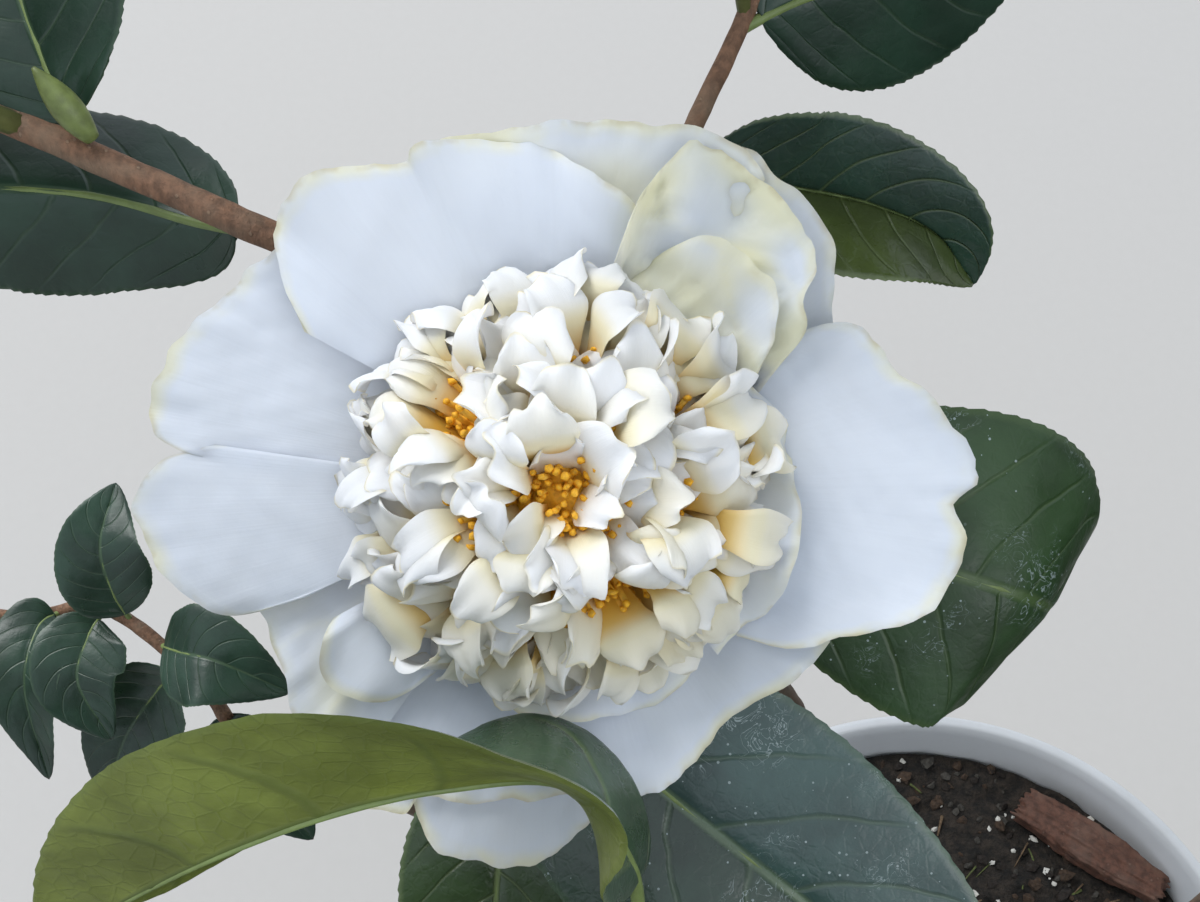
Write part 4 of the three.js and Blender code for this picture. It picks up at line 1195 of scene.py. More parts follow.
# The drain holes: their number, how far out they lie and their radius, in millimetres.
DRAIN_HOLES, DRAIN_RING, DRAIN_RADIUS = 5, 58, 6


class POT_OT_camellia(bpy.types.Operator):
    """Model the pot: a moulded tub with a rolled lip and drain holes"""

    bl_idname = "camellia.pot"
    bl_label = "Pot"

    def execute(self, context):
        deselect()
        s = settings()
        height, rim = s.pot_height, s.pot_radius
        wall, base, lip = POT_WALL * MM, POT_BASE * MM, POT_LIP * MM
        top = rim - 4 * MM
        chamfer = 2 * MM

        def wall_at(z):
            return base + (top - base) * z / height

        profile = [
            (base, chamfer),
            (wall_at(height * 0.5), height * 0.5),
            (wall_at(height - lip - 3 * MM), height - lip - 3 * MM),
            (rim - 1.0 * MM, height - lip),
            (rim, height - 4 * MM),
            (rim - 1.6 * MM, height),
            (rim - 5 * MM, height),
            (wall_at(height - 4 * MM) - wall, height - 4 * MM),
            (wall_at(wall) - wall, wall),
        ]
        bpy.ops.mesh.primitive_circle_add(
            vertices=144, radius=base - chamfer, fill_type="NGON", location=(0, 0, 0)
        )
        piece = rename("pot_shell")
        bpy.ops.object.mode_set(mode="EDIT")
        bpy.ops.mesh.select_all(action="SELECT")
        radius, z = base - chamfer, 0.0
        for next_radius, next_z in profile:
            rise = (0, 0, next_z - z)
            bpy.ops.mesh.extrude_region_move(TRANSFORM_OT_translate={"value": rise})
            grow = next_radius / radius
            bpy.ops.transform.resize(value=(grow, grow, 1), center_override=(0, 0, 0))
            radius, z = next_radius, next_z
        bpy.ops.object.mode_set(mode="OBJECT")
        bpy.ops.object.transform_apply(location=True, rotation=True, scale=True)
        self.soften(piece)
        self.drill(piece, wall)
        finish_piece(piece, [pot_finish()], "pot", "pot")
        return {"FINISHED"}

    @staticmethod
    def soften(piece):
        """Rounds the corners a little."""
        mesh = bmesh.new()
        mesh.from_mesh(piece.data)
        bmesh.ops.recalc_face_normals(mesh, faces=mesh.faces)
        corners = [e for e in mesh.edges if e.is_manifold and e.calc_face_angle() > 0.5]
        bmesh.ops.bevel(
            mesh, geom=corners, offset=0.9 * MM, segments=3, profile=0.5, affect="EDGES",
            clamp_overlap=True,
        )
        mesh.to_mesh(piece.data)
        mesh.free()
        smooth_by_angle(piece, 35)

    @staticmethod
    def drill(piece, wall):
        """Cuts the drain holes through the floor."""
        out = DRAIN_RING * MM
        for k in range(DRAIN_HOLES):
            turn = TAU * (k + 0.5) / DRAIN_HOLES
            bpy.ops.mesh.primitive_cylinder_add(
                vertices=32, radius=DRAIN_RADIUS * MM, depth=wall * 4,
                location=(out * math.cos(turn), out * math.sin(turn), 0),
            )
            drill = bpy.context.object
            deselect()
            piece.select_set(True)
            bpy.context.view_layer.objects.active = piece
            hole = piece.modifiers.new("Drain hole", "BOOLEAN")
            hole.object = drill
            hole.operation = "DIFFERENCE"
            hole.solver = "EXACT"
            bpy.ops.object.modifier_apply(modifier=hole.name)
            bpy.data.objects.remove(drill)


@functools.cache
def crumb_shape():
    """A small lump of twenty faces."""
    mesh = bmesh.new()
    bmesh.ops.create_icosphere(mesh, subdivisions=1, radius=1)
    points = np.array([v.co for v in mesh.verts], float)
    faces = [[v.index for v in face.verts] for face in mesh.faces]
    mesh.free()
    return points, faces


def soil_height(x, y):
    """The height of the mix at a place, in millimetres."""
    r = np.hypot(x, y)
    rise = np.interp(r, (0, 20, 60, 114), (SOIL_MOUND, SOIL_MOUND, SOIL_MOUND * 0.7, 0))
    flat = np.stack([x, y, np.zeros_like(x)], -1)
    lumps = waves(flat, 34, 3) * 0.8 + waves(flat, 11, 4) * 0.7 + waves(flat, 4.5, 5) * 0.45
    return SOIL_TOP - 1.2 + rise + lumps


# The mix's radius at its top, and the heights of the rings down its side.
MIX_RADIUS = 113.8
MIX_LEVELS = (186, 120, 60, 4)
# How far crumbs and litter lie from the middle at most, and how far from it they keep.
CRUMB_REACH, CRUMB_BARE = 112, 15
LITTER_REACH, LITTER_BARE = 106, 20
LITTER_COUNT = 150


def scattered(random, reach):
    """A place on the mix, at random within a reach of its middle."""
    r, turn = reach * math.sqrt(random.next()), random.between(0, TAU)
    return r * math.cos(turn), r * math.sin(turn)


def mix_level(x, y):
    return float(soil_height(np.array([x]), np.array([y]))[0])


class SOIL_OT_camellia(bpy.types.Operator):
    """Model the potting mix, its crumbs and white grains, and the chip of bark on it"""

    bl_idname = "camellia.soil"
    bl_label = "Potting mix"

    def execute(self, context):
        deselect()
        self.bed()
        self.crumbs(settings().crumbs)
        self.chip()
        return {"FINISHED"}

    @staticmethod
    def bed():
        """The mix itself, with an uneven top, out to the inside of the pot."""

        def inside(z):
            return POT_BASE - POT_WALL + (POT_TOP - POT_BASE) * z / POT_HEIGHT - 0.4

        rings = [(r, None) for r in np.linspace(0.5, MIX_RADIUS, 74)]
        rings += [(inside(z), z) for z in MIX_LEVELS] + [(1.0, MIX_LEVELS[-1])]
        sides = 180
        turn = TAU * np.arange(sides) / sides
        points = []
        for r, z in rings:
            x, y = r * np.cos(turn), r * np.sin(turn)
            level = soil_height(x, y) if z is None else np.full(sides, z)
            points.append(np.stack([x, y, level], -1))
        shapes = Shapes()
        faces = [face[::-1] for face in tube_template(len(rings), sides)[0]]
        shapes.add(np.vstack(points), faces)
        shapes.make("potting_mix", [soil_finish()], "soil", "soil")

    @staticmethod
    def crumbs(count):
        """Crumbs, white grains and litter that lie on the mix."""
        lump, faces = crumb_shape()
        random = Seeded(77)
        crumbs, grains, litter = Shapes(), Shapes(), Shapes()
        for _ in range(count):
            x, y = scattered(random, CRUMB_REACH)
            pale = random.next() < 0.2
            size = random.between(0.5, 1.5) if pale else random.between(0.6, 2.4) ** 1.15
            if math.hypot(x, y) < CRUMB_BARE:
                continue
            stretch = vec(
                random.between(0.8, 1.5), random.between(0.7, 1.2), random.between(0.5, 0.9)
            )
            rough = 1 + 0.3 * waves(lump, 1.1, int(random.next() * 1e6))
            points = turned(lump * rough[:, None] * stretch * size, random.between(0, TAU))
            points = points + vec(x, y, mix_level(x, y) + size * 0.25)
            if pale:
                grains.add(points, faces)
            else:
                crumbs.add(points, faces, int(random.next() * 3))
        for _ in range(LITTER_COUNT):
            x, y = scattered(random, LITTER_REACH)
            if math.hypot(x, y) < LITTER_BARE:
                continue
            way = random.between(0, TAU)
            length = random.between(4, 15)
            a = vec(x, y, mix_level(x, y) + random.between(0.4, 1.4))
            b = a + vec(math.cos(way) * length, math.sin(way) * length, random.between(-1, 1.4))
            if math.hypot(b[0], b[1]) > CRUMB_REACH:
                continue
            radius = random.between(0.25, 0.9)
            line = bowed(a, b, vec(0, 0, random.between(0, 1)))
            kind = int(random.next() * 2)
            litter.add_tube(line, lambda t: radius * (1 - 0.5 * t), 5, 4, kind)
        greys = [
            plain_finish("crumb dark", (0.016, 0.011, 0.008), 0.9, 1.5, 0.4),
            plain_finish("crumb brown", (0.05, 0.03, 0.018), 0.9, 1.5, 0.4),
            plain_finish("crumb grey", (0.05, 0.045, 0.038), 0.9, 1.5, 0.4),
        ]
        crumbs.make("mix_crumbs", greys, "soil", smooth=False)
        white = [plain_finish("white grain", (0.62, 0.6, 0.55), 0.85, 0.8, 0.1, 0.15)]
        grains.make("mix_white_grains", white, "soil", smooth=False)
        straw = [
            plain_finish("litter straw", (0.14, 0.09, 0.05), 0.8, 1.5, 0.35),
            plain_finish("litter green", (0.09, 0.11, 0.03), 0.8, 1.5, 0.35),
        ]
        litter.make("mix_litter", straw, "soil")

    @staticmethod
    def chip():
        """The chip of bark: a block that is narrowed, domed and grained."""
        deselect()
        bpy.ops.mesh.primitive_cube_add(size=1, location=(0, 0, 0))
        piece = rename("chip_of_bark")
        bpy.ops.object.mode_set(mode="EDIT")
        bpy.ops.mesh.select_all(action="SELECT")
        bpy.ops.transform.resize(value=CHIP_SIZE)
        bpy.ops.mesh.subdivide(number_cuts=31)
        bpy.ops.object.mode_set(mode="OBJECT")
        co = np.zeros(len(piece.data.vertices) * 3)
        piece.data.vertices.foreach_get("co", co)
        p = co.reshape(-1, 3)
        length, width, height = CHIP_SIZE
        narrowed = 1 - 0.75 * np.abs(p[:, 0] / length + 0.05) ** 1.4
        back = 1 - 1.5 * (p[:, 1] / width) ** 2
        p[:, 1] *= narrowed
        p[:, 2] = np.where(p[:, 2] > 0, p[:, 2] * back * narrowed, p[:, 2])
        grain = waves(p * (0.12, 1, 1), 2.6, 61) * 0.5 + waves(p * (0.3, 1, 1), 1.2, 62) * 0.22
        p += unit(p * (0.2, 1, 1) + 1e-6) * grain[:, None]
        p[:, 0] += waves(p * (0, 1, 1), 3, 63) * 1.2 * (np.abs(p[:, 0]) / length * 2) ** 6
        level = SOIL_TOP + SOIL_MOUND * 0.5 + height / 2 - 0.7
        p = turned(p, math.radians(CHIP_TURN)) + vec(*CHIP_PLACE, level)
        piece.data.vertices.foreach_set("co", (p * MM).ravel())
        piece.data.polygons.foreach_set("use_smooth", np.full(len(piece.data.polygons), True))
        piece.data.update()
        bark = bark_finish("chip bark", (0.105, 0.045, 0.028), (0.16, 0.1, 0.075), 6)
        finish_piece(piece, [bark], "bark_chip", "bark_chip")


# Wood

# How much the trunk's foot spreads, and over what share of its length. How much wider a bough's
# collar is, as a share, and how long the collar is.
FLARE, FLARE_SHARE = 3, 0.02
COLLAR, COLLAR_LENGTH = 0.35, 10


def bark_relief(size, depth, seed):
    """Lengthwise ridges and swellings on a limb, in millimetres."""

    def relief(points, radius):
        tall = points * (1, 1, 0.3)
        low = waves(tall, size, seed) * 0.05 * radius
        ridges = waves(tall, size * 0.35, seed + 1) * 0.6
        ridges = ridges + waves(tall, size * 0.14, seed + 2) * 0.4
        return low + ridges * depth

    return relief


class LIMBS_OT_camellia(bpy.types.Operator):
    """Model the trunk, the leader and the boughs, with the relief of their bark"""

    bl_idname = "camellia.limbs"
    bl_label = "Trunk and boughs"

    def execute(self, context):
        deselect()
        bark = bark_finish("bark of limbs", tuple(settings().bark_colour), (0.2, 0.17, 0.13))
        for k, (name, limb) in enumerate(plant().limbs.items()):
            length = float(np.linalg.norm(limb.line(1) - limb.line(0)))
            if name == "trunk":
                sides, ring, depth = 40, 2.2, 0.28
                radius = self.flared(limb.radius_at)
            else:
                sides, ring, depth = 22, 2.6, 0.16
                radius = self.collared(limb.radius_at, length)
            shapes = Shapes()
            relief = bark_relief(9, depth, 30 + 3 * k)
            shapes.add_tube(limb.line, radius, sides, int(length / ring), relief=relief)
            shapes.make("bark_of_" + name, [bark], "bark", name)
        return {"FINISHED"}

    @staticmethod
    def flared(radius_at):
        """The trunk's radius, with a foot that spreads where it meets the mix."""
        return lambda t: radius_at(t) + FLARE * bump(t, 0, FLARE_SHARE)

    @staticmethod
    def collared(radius_at, length):
        """A bough's radius, with a collar where it leaves the trunk."""
        return lambda t: radius_at(t) * (1 + COLLAR * bump(t, 0, COLLAR_LENGTH / length))


# Foliage

LEAF_ROWS = np.array((0.1, 0.17, 0.29, 0.43, 0.58, 0.73, 0.86, 0.95, 1.0))
LEAF_COLUMNS = np.array((-1, -0.52, -0.035, 0.035, 0.52, 1))
LEAF_UV = np.stack(np.meshgrid(LEAF_ROWS, LEAF_COLUMNS / 2 + 0.5, indexing="ij")[::-1], -1)
LEAF_THICKNESS, NEAR_LEAF_THICKNESS = 0.7, 0.55
# How far a bud at a twig's tip reaches, and its radius on a stem and on a side twig.
BUD_REACH, STEM_BUD, TWIG_BUD = 7.5, 2.3, 1.7
# Places in the list of crown finishes, which starts with four greens, and the greens that sprays
# are given in turn.
DEEP, MID, YOUNG, UNDERSIDE, MIDRIB, STALK = 0, 2, 3, 4, 5, 6
SPRAY_GREENS = (0, 0, 1, 2, 0, 2, 3)


def leaf_grid(leaf):
    """A crown leaf's surface as a grid of points, with a gently waved edge."""
    t, u = np.meshgrid(LEAF_ROWS, LEAF_COLUMNS, indexing="ij")
    points, _, up, width = leaf_frame(leaf, t, u)
    edge = np.abs(u) ** 2.2
    lift = edge * np.sin(13 * t + leaf.phase + 1.4 * (u > 0)) * np.minimum(1, width / 9)
    cup = -0.1 * width * (np.abs(u) ** 2)
    return points + up * (lift + cup)[..., None]


def leaf_stalk(shapes, leaf, slot):
    """The short stalk of a leaf, and the first stretch of its midrib."""

    def line(t):
        return leaf.midrib(np.asarray(t, float) * (PETIOLE_SHARE + 0.06))[0]

    shapes.add_tube(line, lambda t: 1.05 - 0.35 * np.asarray(t), 4, 2, slot)


def tints():
    """The finishes of crown leaves: four greens, then the underside, midrib and stalk."""
    s = settings()
    leaf, young, under = tuple(s.leaf_colour), tuple(s.young_colour), tuple(s.under_colour)
    return [
        leaf_finish("leaf deep green", leaf, 0.36),
        leaf_finish("leaf blue green", (leaf[0] * 0.9, leaf[1] * 0.95, leaf[2] * 1.5), 0.33),
        leaf_finish("leaf mid green", (leaf[0] * 1.6, leaf[1] * 1.45, leaf[2] * 1.1), 0.38),
        leaf_finish("leaf young green", young, 0.4),
        leaf_finish("leaf underside", under, 0.6),
        leaf_finish("leaf midrib", (0.1, 0.15, 0.045), 0.5),
        leaf_finish("leaf stalk", (0.15, 0.17, 0.05), 0.5),
    ]


def leaf_slots(tint):
    """Which finish each face of a crown leaf has."""

    def slots(places):
        middle = (places[:, 2] == 2) & (places[:, 1] < 7)
        upper = np.where(middle, MIDRIB, tint)
        return np.where(places[:, 0] == 0, upper, UNDERSIDE)

    return slots


class CROWN_OT_camellia(bpy.types.Operator):
    """Grow the twigs and leaves of each mass of foliage"""

    bl_idname = "camellia.crown"
    bl_label = "Crown"

    def execute(self, context):
        deselect()
        greens = tints()
        twig_bark = bark_finish("bark of twigs", (0.2, 0.105, 0.06), (0.25, 0.18, 0.12), 3)
        soft = plain_finish("green twig", (0.13, 0.14, 0.045), 0.5, 2, 0.2)
        bud_green = plain_finish("bud", (0.16, 0.2, 0.06), 0.45, 1.5, 0.2)
        for mass in plant().masses:
            wood = Shapes()
            near = bool(mass.placed)
            for twig in mass.twigs:
                self.twig(wood, mass, twig, near)
            for line in mass.petioles:
                wood.add_tube(line, lambda t: 1.2 + 0 * t, 10, 8, 1)
            for line in mass.buds:
                self.bud(wood, line, 1.9, 14, 12)
            name = mass.name.replace("foliage", "twigs")
            wood.make(name, [twig_bark, soft, bud_green], "bark", mass.name)
            if mass.leaves:
                name = mass.name.replace("foliage", "leaves")
                leaves = self.leaves(mass)
                leaves.make(name, greens, "leaves", mass.name, crisp=100)
        return {"FINISHED"}

    @staticmethod
    def leaves(mass):
        """All the grown leaves of a mass. Most of a spray's leaves have the same green."""
        leaves = Shapes()
        random = Seeded(mass.seed + 3000)
        greens = {}
        for leaf in mass.leaves:
            pick = random.next()
            tint = greens.setdefault(leaf.spray, SPRAY_GREENS[len(greens) % len(SPRAY_GREENS)])
            if pick >= 0.62:
                tint = DEEP if pick < 0.78 else MID if pick < 0.93 else YOUNG
            leaves.add_blade(leaf_grid(leaf), LEAF_THICKNESS, leaf_slots(tint), LEAF_UV)
            leaf_stalk(leaves, leaf, STALK)
        return leaves

    @staticmethod
    def twig(wood, mass, twig, near):
        """A twig: woody, or green where it is fine, with a leaf bud at its tip."""
        stem = twig.order == 0
        sides = 16 if near and stem else 8 if twig.order < 2 else 6
        steps = max(3, int(twig.length / (1.6 if near and stem else 7)))
        collar = 0.5 if stem and not near else 0

        def radius_at(t):
            return twig.radius_at(t) * mass.slim + collar * bump(t, 0, 0.12)

        relief = bark_relief(6, 0.07, mass.seed) if near and stem else None
        wood.add_tube(twig.line, radius_at, sides, steps, min(twig.order, 1), relief)
        tip, way = twig.line(1), direction_of(twig.line, 1)
        if not stem or not any(mass.name == row[1] for row in SMALL_BLOOMS):
            line = bowed(tip - way, tip + way * BUD_REACH, vec(0, 0, 0))
            CROWN_OT_camellia.bud(wood, line, STEM_BUD if stem else TWIG_BUD)

    @staticmethod
    def bud(wood, line, radius, sides=7, steps=5):
        """A leaf bud, pointed at its tip."""
        wood.add_tube(line, lambda t: radius * np.sin(math.pi * (0.16 + 0.8 * t)), sides, steps, 2)


# Near leaves


# The folded leaf shows its upper side near the twig and its underside beyond the fold.
FOLDED_TURN = (44, 57, 81, 102, 116, 123, 125, 125)
# The back leaf bends a little less than its solid, so that its edge doesn't fold over itself.
BACK_MIDRIB = [
    (14, 40, -14), (19, 39.2, -18.4), (28.5, 37.6, -21), (38, 35.6, -21), (47, 32, -23),
    (53, 26, -28),
]
# How many rows and columns of faces a leaf has, alone and in the low cluster.
LEAF_FACES, CLUSTER_FACES = (120, 44), (60, 20)
# How many side veins a leaf has on each side, and how far forward they lean.
LEAF_VEINS = {"pairs": 8.5, "lean": 0.2}
FOLDED_VEINS = {"pairs": 7, "lean": 0.07}

# The upper sides of the leaves: colour, colour of the veins, roughness, depth of the veins, and
# what else a leaf has. Leaves that aren't named here are dark ones.
PALE_VEIN = (0.16, 0.21, 0.08)
UPPER_SIDES = {
    "folded": ((0.045, 0.08, 0.045), PALE_VEIN, 0.3, 0.25, {**FOLDED_VEINS, "coat": 0.3}),
    # The lower leaf's paler blue-green colour is painted sheen, a reflection of the pale sky; its
    # other half has the leaf's own darker green. Its dust is real.
    "lower": (
        (0.05, 0.095, 0.085), (0.1, 0.15, 0.08), 0.24, 0.2,
        {"dust": 0.5, "coat": 0.5, "other": (0.028, 0.056, 0.036)},
    ),
    "right": ((0.03, 0.065, 0.022), (0.075, 0.12, 0.04), 0.42, 0.2, {"dust": 0.35}),
    # The back leaf's olive half is painted light, where light shines through the blade; its other
    # half is dark blue-green.
    "back": (
        (0.02, 0.052, 0.034), PALE_VEIN, 0.28, 0.25, {"coat": 0.3, "other": (0.06, 0.085, 0.022)}
    ),
    "bottom": ((0.045, 0.08, 0.03), PALE_VEIN, 0.3, 0.25, {"coat": 0.2}),
    "dark": ((0.02, 0.048, 0.03), (0.05, 0.09, 0.045), 0.34, 0.12, {}),
}


def veined(t, u, pairs, lean, depth, teeth):
    """Puffed panels between the side veins, and a finely toothed edge."""
    phase = (t - lean * np.abs(u) ** 1.35) * pairs + 0.45 * (u < 0)
    rise = depth * (np.abs(np.cos(math.pi * phase)) ** 0.5 - 0.5) * (1 - np.abs(u) ** 5)
    middle = -depth * 1.4 * bump(u, 0, 0.06)
    saw = np.abs(u) ** 14 * teeth * (np.mod(t * 38, 1) - 0.5)
    return rise + middle, saw


class NEAR_LEAVES_OT_camellia(bpy.types.Operator):
    """Model the leaves round the large bloom one by one, with veins and toothed edges"""

    bl_idname = "camellia.near_leaves"
    bl_label = "Near leaves"

    def execute(self, context):
        deselect()
        named = plant().named
        folded = named["foliage_front_twig"].placed["folded"]
        folded.midrib = placed_midrib(BLOOM.at(PLACED_LEAVES["folded"][0]), FOLDED_TURN, BLOOM.z)
        back = named["foliage_back_twig"].placed["back"]
        back.midrib = placed_midrib(BLOOM.at(BACK_MIDRIB), PLACED_LEAVES["back"][1], BLOOM.z)
        for mass in plant().masses:
            for key, leaf in mass.placed.items():
                if key.startswith("low_"):
                    continue
                veins = FOLDED_VEINS if key == "folded" else LEAF_VEINS
                shapes = Shapes()
                self.leaf(shapes, leaf, *LEAF_FACES, **veins)
                self.make(shapes, "leaf_" + key, key, mass)
        cluster = Shapes()
        mass = named["foliage_left_low"]
        for leaf in mass.placed.values():
            self.leaf(cluster, leaf, *CLUSTER_FACES, **LEAF_VEINS)
        self.make(cluster, "leaves_low_cluster", "low", mass)
        return {"FINISHED"}

    def make(self, shapes, name, key, mass):
        shapes.make(name, self.finishes(key), "leaves", mass.name, crisp=80, sheet=True)

    @staticmethod
    def leaf(shapes, leaf, rows, columns, pairs, lean):
        t_row = 0.1 + 0.9 * np.linspace(0, 1, rows) ** 0.97
        u_row = np.linspace(-1, 1, columns + 1)
        t, u = np.meshgrid(t_row, u_row, indexing="ij")
        points, side, up, width = leaf_frame(leaf, t, u)
        rise, saw = veined(t, u, pairs, lean, 0.2, 0.28)
        edge = np.abs(u) ** 2.4
        wave = 0.9 * edge * np.sin(11 * t + leaf.phase + 1.7 * (u > 0)) * np.minimum(1, width / 9)
        rise = rise * np.minimum(1, width / 6) + wave - 0.05 * width * u * u
        teeth = np.sign(u) * saw * np.minimum(1, width / 5)
        points = points + up * rise[..., None] + side * teeth[..., None]
        shapes.add_blade(points, NEAR_LEAF_THICKNESS, (0, 1), np.stack([u / 2 + 0.5, t], -1))

        def rib(s):
            point, _, above = leaf.midrib(0.93 * np.asarray(s, float))
            return point - above * 0.35

        shapes.add_tube(rib, lambda s: 0.95 - 0.75 * np.asarray(s) ** 0.6, 8, 60, 2)

    @staticmethod
    def finishes(key):
        """The finishes of a leaf: its upper side, its underside and its midrib."""
        rib = plain_finish("near midrib", (0.19, 0.25, 0.08), 0.45, 2, 0.12)
        look = key if key in UPPER_SIDES else "dark"
        *looks, more = UPPER_SIDES[look]
        upper = vein_finish(look + " leaf upper", *looks, **more)
        if look == "folded":
            under = vein_finish(
                "folded leaf under", (0.16, 0.19, 0.034), (0.085, 0.115, 0.025), 0.5, -0.22,
                net=0.5, **FOLDED_VEINS,
            )
        else:
            colour = tuple(settings().under_colour)
            under = vein_finish(look + " leaf under", colour, PALE_VEIN, 0.55, -0.25)
        return [upper, under, rib]


# Blooms

CUP_FLOOR = -15
PETAL_REACH = 45
PETAL_THICKNESS, SMALL_PETAL_THICKNESS = 0.35, 0.32

# The camera's lens and the width of its sensor, in millimetres, then the photograph's middle and
# its focal length, in pixels.
LENS, SENSOR = 50, 36
PHOTO_MIDDLE = (600, 451)
PHOTO_FOCUS = 2 * PHOTO_MIDDLE[0] * LENS / SENSOR

# The outer petals of the large bloom. Each has the height of its margin, how cream it is, how far
# its margin curls, how crumpled it is, and points of its margin as read off the photograph.
OUTER_PETALS = {
    "lowest": (-9, 0.0, 0.6, 0.3, [
        (400, 760), (413, 805), (430, 844), (465, 861), (508, 866), (552, 855), (578, 831),
        (595, 813), (610, 770)]),
    "small_lobe": (-8, 0.0, 0.5, 0.3, [
        (330, 760), (345, 795), (360, 806), (384, 817), (408, 812), (420, 780)]),
    "bottom": (-5.5, 0.1, 1.0, 0.5, [
        (330, 700), (345, 745), (380, 780), (430, 800), (490, 805), (550, 800), (600, 790),
        (640, 770), (660, 730)]),
    "low_left": (-4.6, 0.6, 1.5, 0.9, [
        (250, 585), (256, 612), (270, 640), (284, 672), (289, 702), (300, 722), (330, 745),
        (370, 750)]),
    "low_right": (-3.8, 0.15, 1.2, 0.6, [
        (860, 610), (835, 642), (790, 684), (736, 718), (711, 749), (676, 781), (640, 799),
        (600, 792), (560, 770), (530, 740)]),
    "right_back": (-3.4, 0.0, 0.8, 0.4, [
        (740, 150), (780, 180), (808, 195), (830, 240), (836, 290), (832, 340), (815, 380)]),
    "left_upper": (-3.0, 0.0, 0.9, 0.5, [
        (300, 235), (270, 252), (232, 287), (190, 330), (160, 370), (150, 405), (158, 432),
        (178, 449), (230, 470)]),
    "left_lower": (-1.8, 0.05, 1.1, 0.5, [
        (215, 445), (172, 456), (148, 476), (139, 505), (143, 535), (160, 562), (186, 592),
        (215, 611), (250, 614), (300, 600)]),
    "top_back": (-1.6, 0.55, 1.0, 0.7, [
        (400, 185), (430, 140), (500, 131), (600, 121), (650, 119), (700, 131), (745, 150),
        (765, 180)]),
    "right": (-0.9, 0.04, 1.3, 0.5, [
        (762, 370), (790, 335), (835, 320), (862, 326), (880, 346), (897, 370), (926, 391),
        (948, 416), (973, 452), (980, 481), (957, 503), (967, 531), (964, 556), (945, 591),
        (919, 613), (883, 631), (835, 640), (790, 650), (740, 640)]),
    "crumple_outer": (1.3, 0.95, 2.2, 1.7, [
        (600, 300), (622, 240), (650, 180), (690, 140), (735, 152), (772, 186), (800, 216),
        (818, 262), (807, 292), (803, 330), (790, 355), (765, 390)]),
    "top_left": (2.0, 0.06, 1.3, 0.5, [
        (300, 330), (277, 262), (276, 215), (300, 180), (330, 168), (372, 166), (404, 160),
        (412, 146), (450, 136), (520, 133), (565, 152), (605, 178), (636, 203), (641, 216),
        (626, 250), (600, 290)]),
    "inner_low_left": (1.0, 0.1, 1.6, 0.5, [
        (330, 620), (316, 655), (325, 690), (360, 708), (400, 700), (430, 680)]),
    "inner_low": (1.6, 0.4, 2.0, 0.9, [
        (700, 640), (690, 690), (640, 722), (570, 728), (500, 712), (470, 680)]),
    "crumple_inner": (3.2, 0.8, 2.4, 1.5, [
        (600, 310), (640, 262), (690, 238), (740, 250), (775, 285), (780, 330), (760, 375)]),
    "inner_right": (4.6, 0.4, 2.2, 1.2, [
        (745, 370), (790, 420), (806, 480), (800, 560), (770, 620), (720, 660)]),
}


def from_photo(points, height):
    """Where points of the photograph lie in the large bloom's frame, at a height."""
    right, up, far = OPENING_APEX
    pixel = (far - height) / PHOTO_FOCUS
    return [
        (right + (x - PHOTO_MIDDLE[0]) * pixel, up - (y - PHOTO_MIDDLE[1]) * pixel)
        for x, y in points
    ]


def add_petal(shapes, bloom, saucer, petal, scale, rows, columns, seed):
    """An outer petal that spreads from under the bloom's centre to its margin."""
    edge, cream, curl, crumple, points = petal
    margin = line_through([(x, y, 0) for x, y in points])
    v, w = np.meshgrid(np.linspace(0, 1, rows) ** 0.8, np.linspace(0, 1, columns), indexing="ij")
    rim = margin(w)
    middle = unit(np.mean(points, 0) @ np.eye(2, 3))
    root = middle * 2.5 + unit(rim) * 1.5
    uneven = waves(rim, 9, seed) * 0.4 + waves(rim, 3.4, seed + 1) * 0.22
    reach = 1 + uneven[..., None] / PETAL_REACH
    flat = root + (rim * reach - root) * v[..., None]
    r = np.linalg.norm(flat, axis=-1)
    height = CUP_FLOOR + (edge - CUP_FLOOR) * (r / PETAL_REACH) ** 0.75 + 0.4 * (edge + 9) / 12
    near_edge = np.clip((v - 0.74) / 0.26, 0, 1) ** 2
    ends = np.minimum(1, np.minimum(w, 1 - w) / 0.12)
    height += near_edge * (curl * waves(rim, 17, seed + 2) + 0.3 * waves(rim, 5, seed + 7)) * ends
    creases = 0.6 - np.abs(waves(flat * (1, 1, 0), 15, seed + 3, 5)) * 1.1
    height += crumple * v * (0.7 * waves(flat, 12, seed + 4) + 0.5 * creases * min(1, crumple))
    height += 0.1 * v * waves(flat, 3.6, seed + 5)
    wrinkles = 0.4 - np.abs(waves(flat * (1, 1, 0), 6.5, seed + 8, 5)) * 1.1
    height += max(0, crumple - 0.8) * v * 0.6 * wrinkles
    local = np.concatenate([flat[..., :2], height[..., None]], -1) * scale
    field = 0.5 + 0.5 * waves(flat, 13, seed + 6)
    ridge = np.clip(creases, 0, 1) ** 2 * cream
    tint = cream * field * (0.35 + 0.65 * v) + 0.8 * ridge + 0.25 * np.exp(-((r / 22) ** 4))
    shapes.add_blade(
        bloom.at(local), PETAL_THICKNESS * scale, (0, 0), np.stack([w, v], -1),
        np.clip(tint, 0, 1) * 0.5, (False, False),
    )
    saucer.note(local / scale)


# How wide the squares are in which the height of outer petals is noted, and how many lie to each
# side of the middle.
SQUARE, SQUARES = 2.5, 24


class Saucer:
    """How high the outer petals of a bloom lie, square by square."""

    def __init__(self):
        self.top = np.full((2 * SQUARES, 2 * SQUARES), -99.0)

    def squares(self, points):
        spots = (points[..., :2] / SQUARE + SQUARES).astype(int)
        return tuple(np.clip(spots, 0, 2 * SQUARES - 1).reshape(-1, 2).T)

    def note(self, points):
        np.maximum.at(self.top, self.squares(points), points[..., 2].ravel())

    def depth(self, points):
        """How far the points reach below the petals."""
        return float((self.top[self.squares(points)] - points[..., 2].ravel()).max())


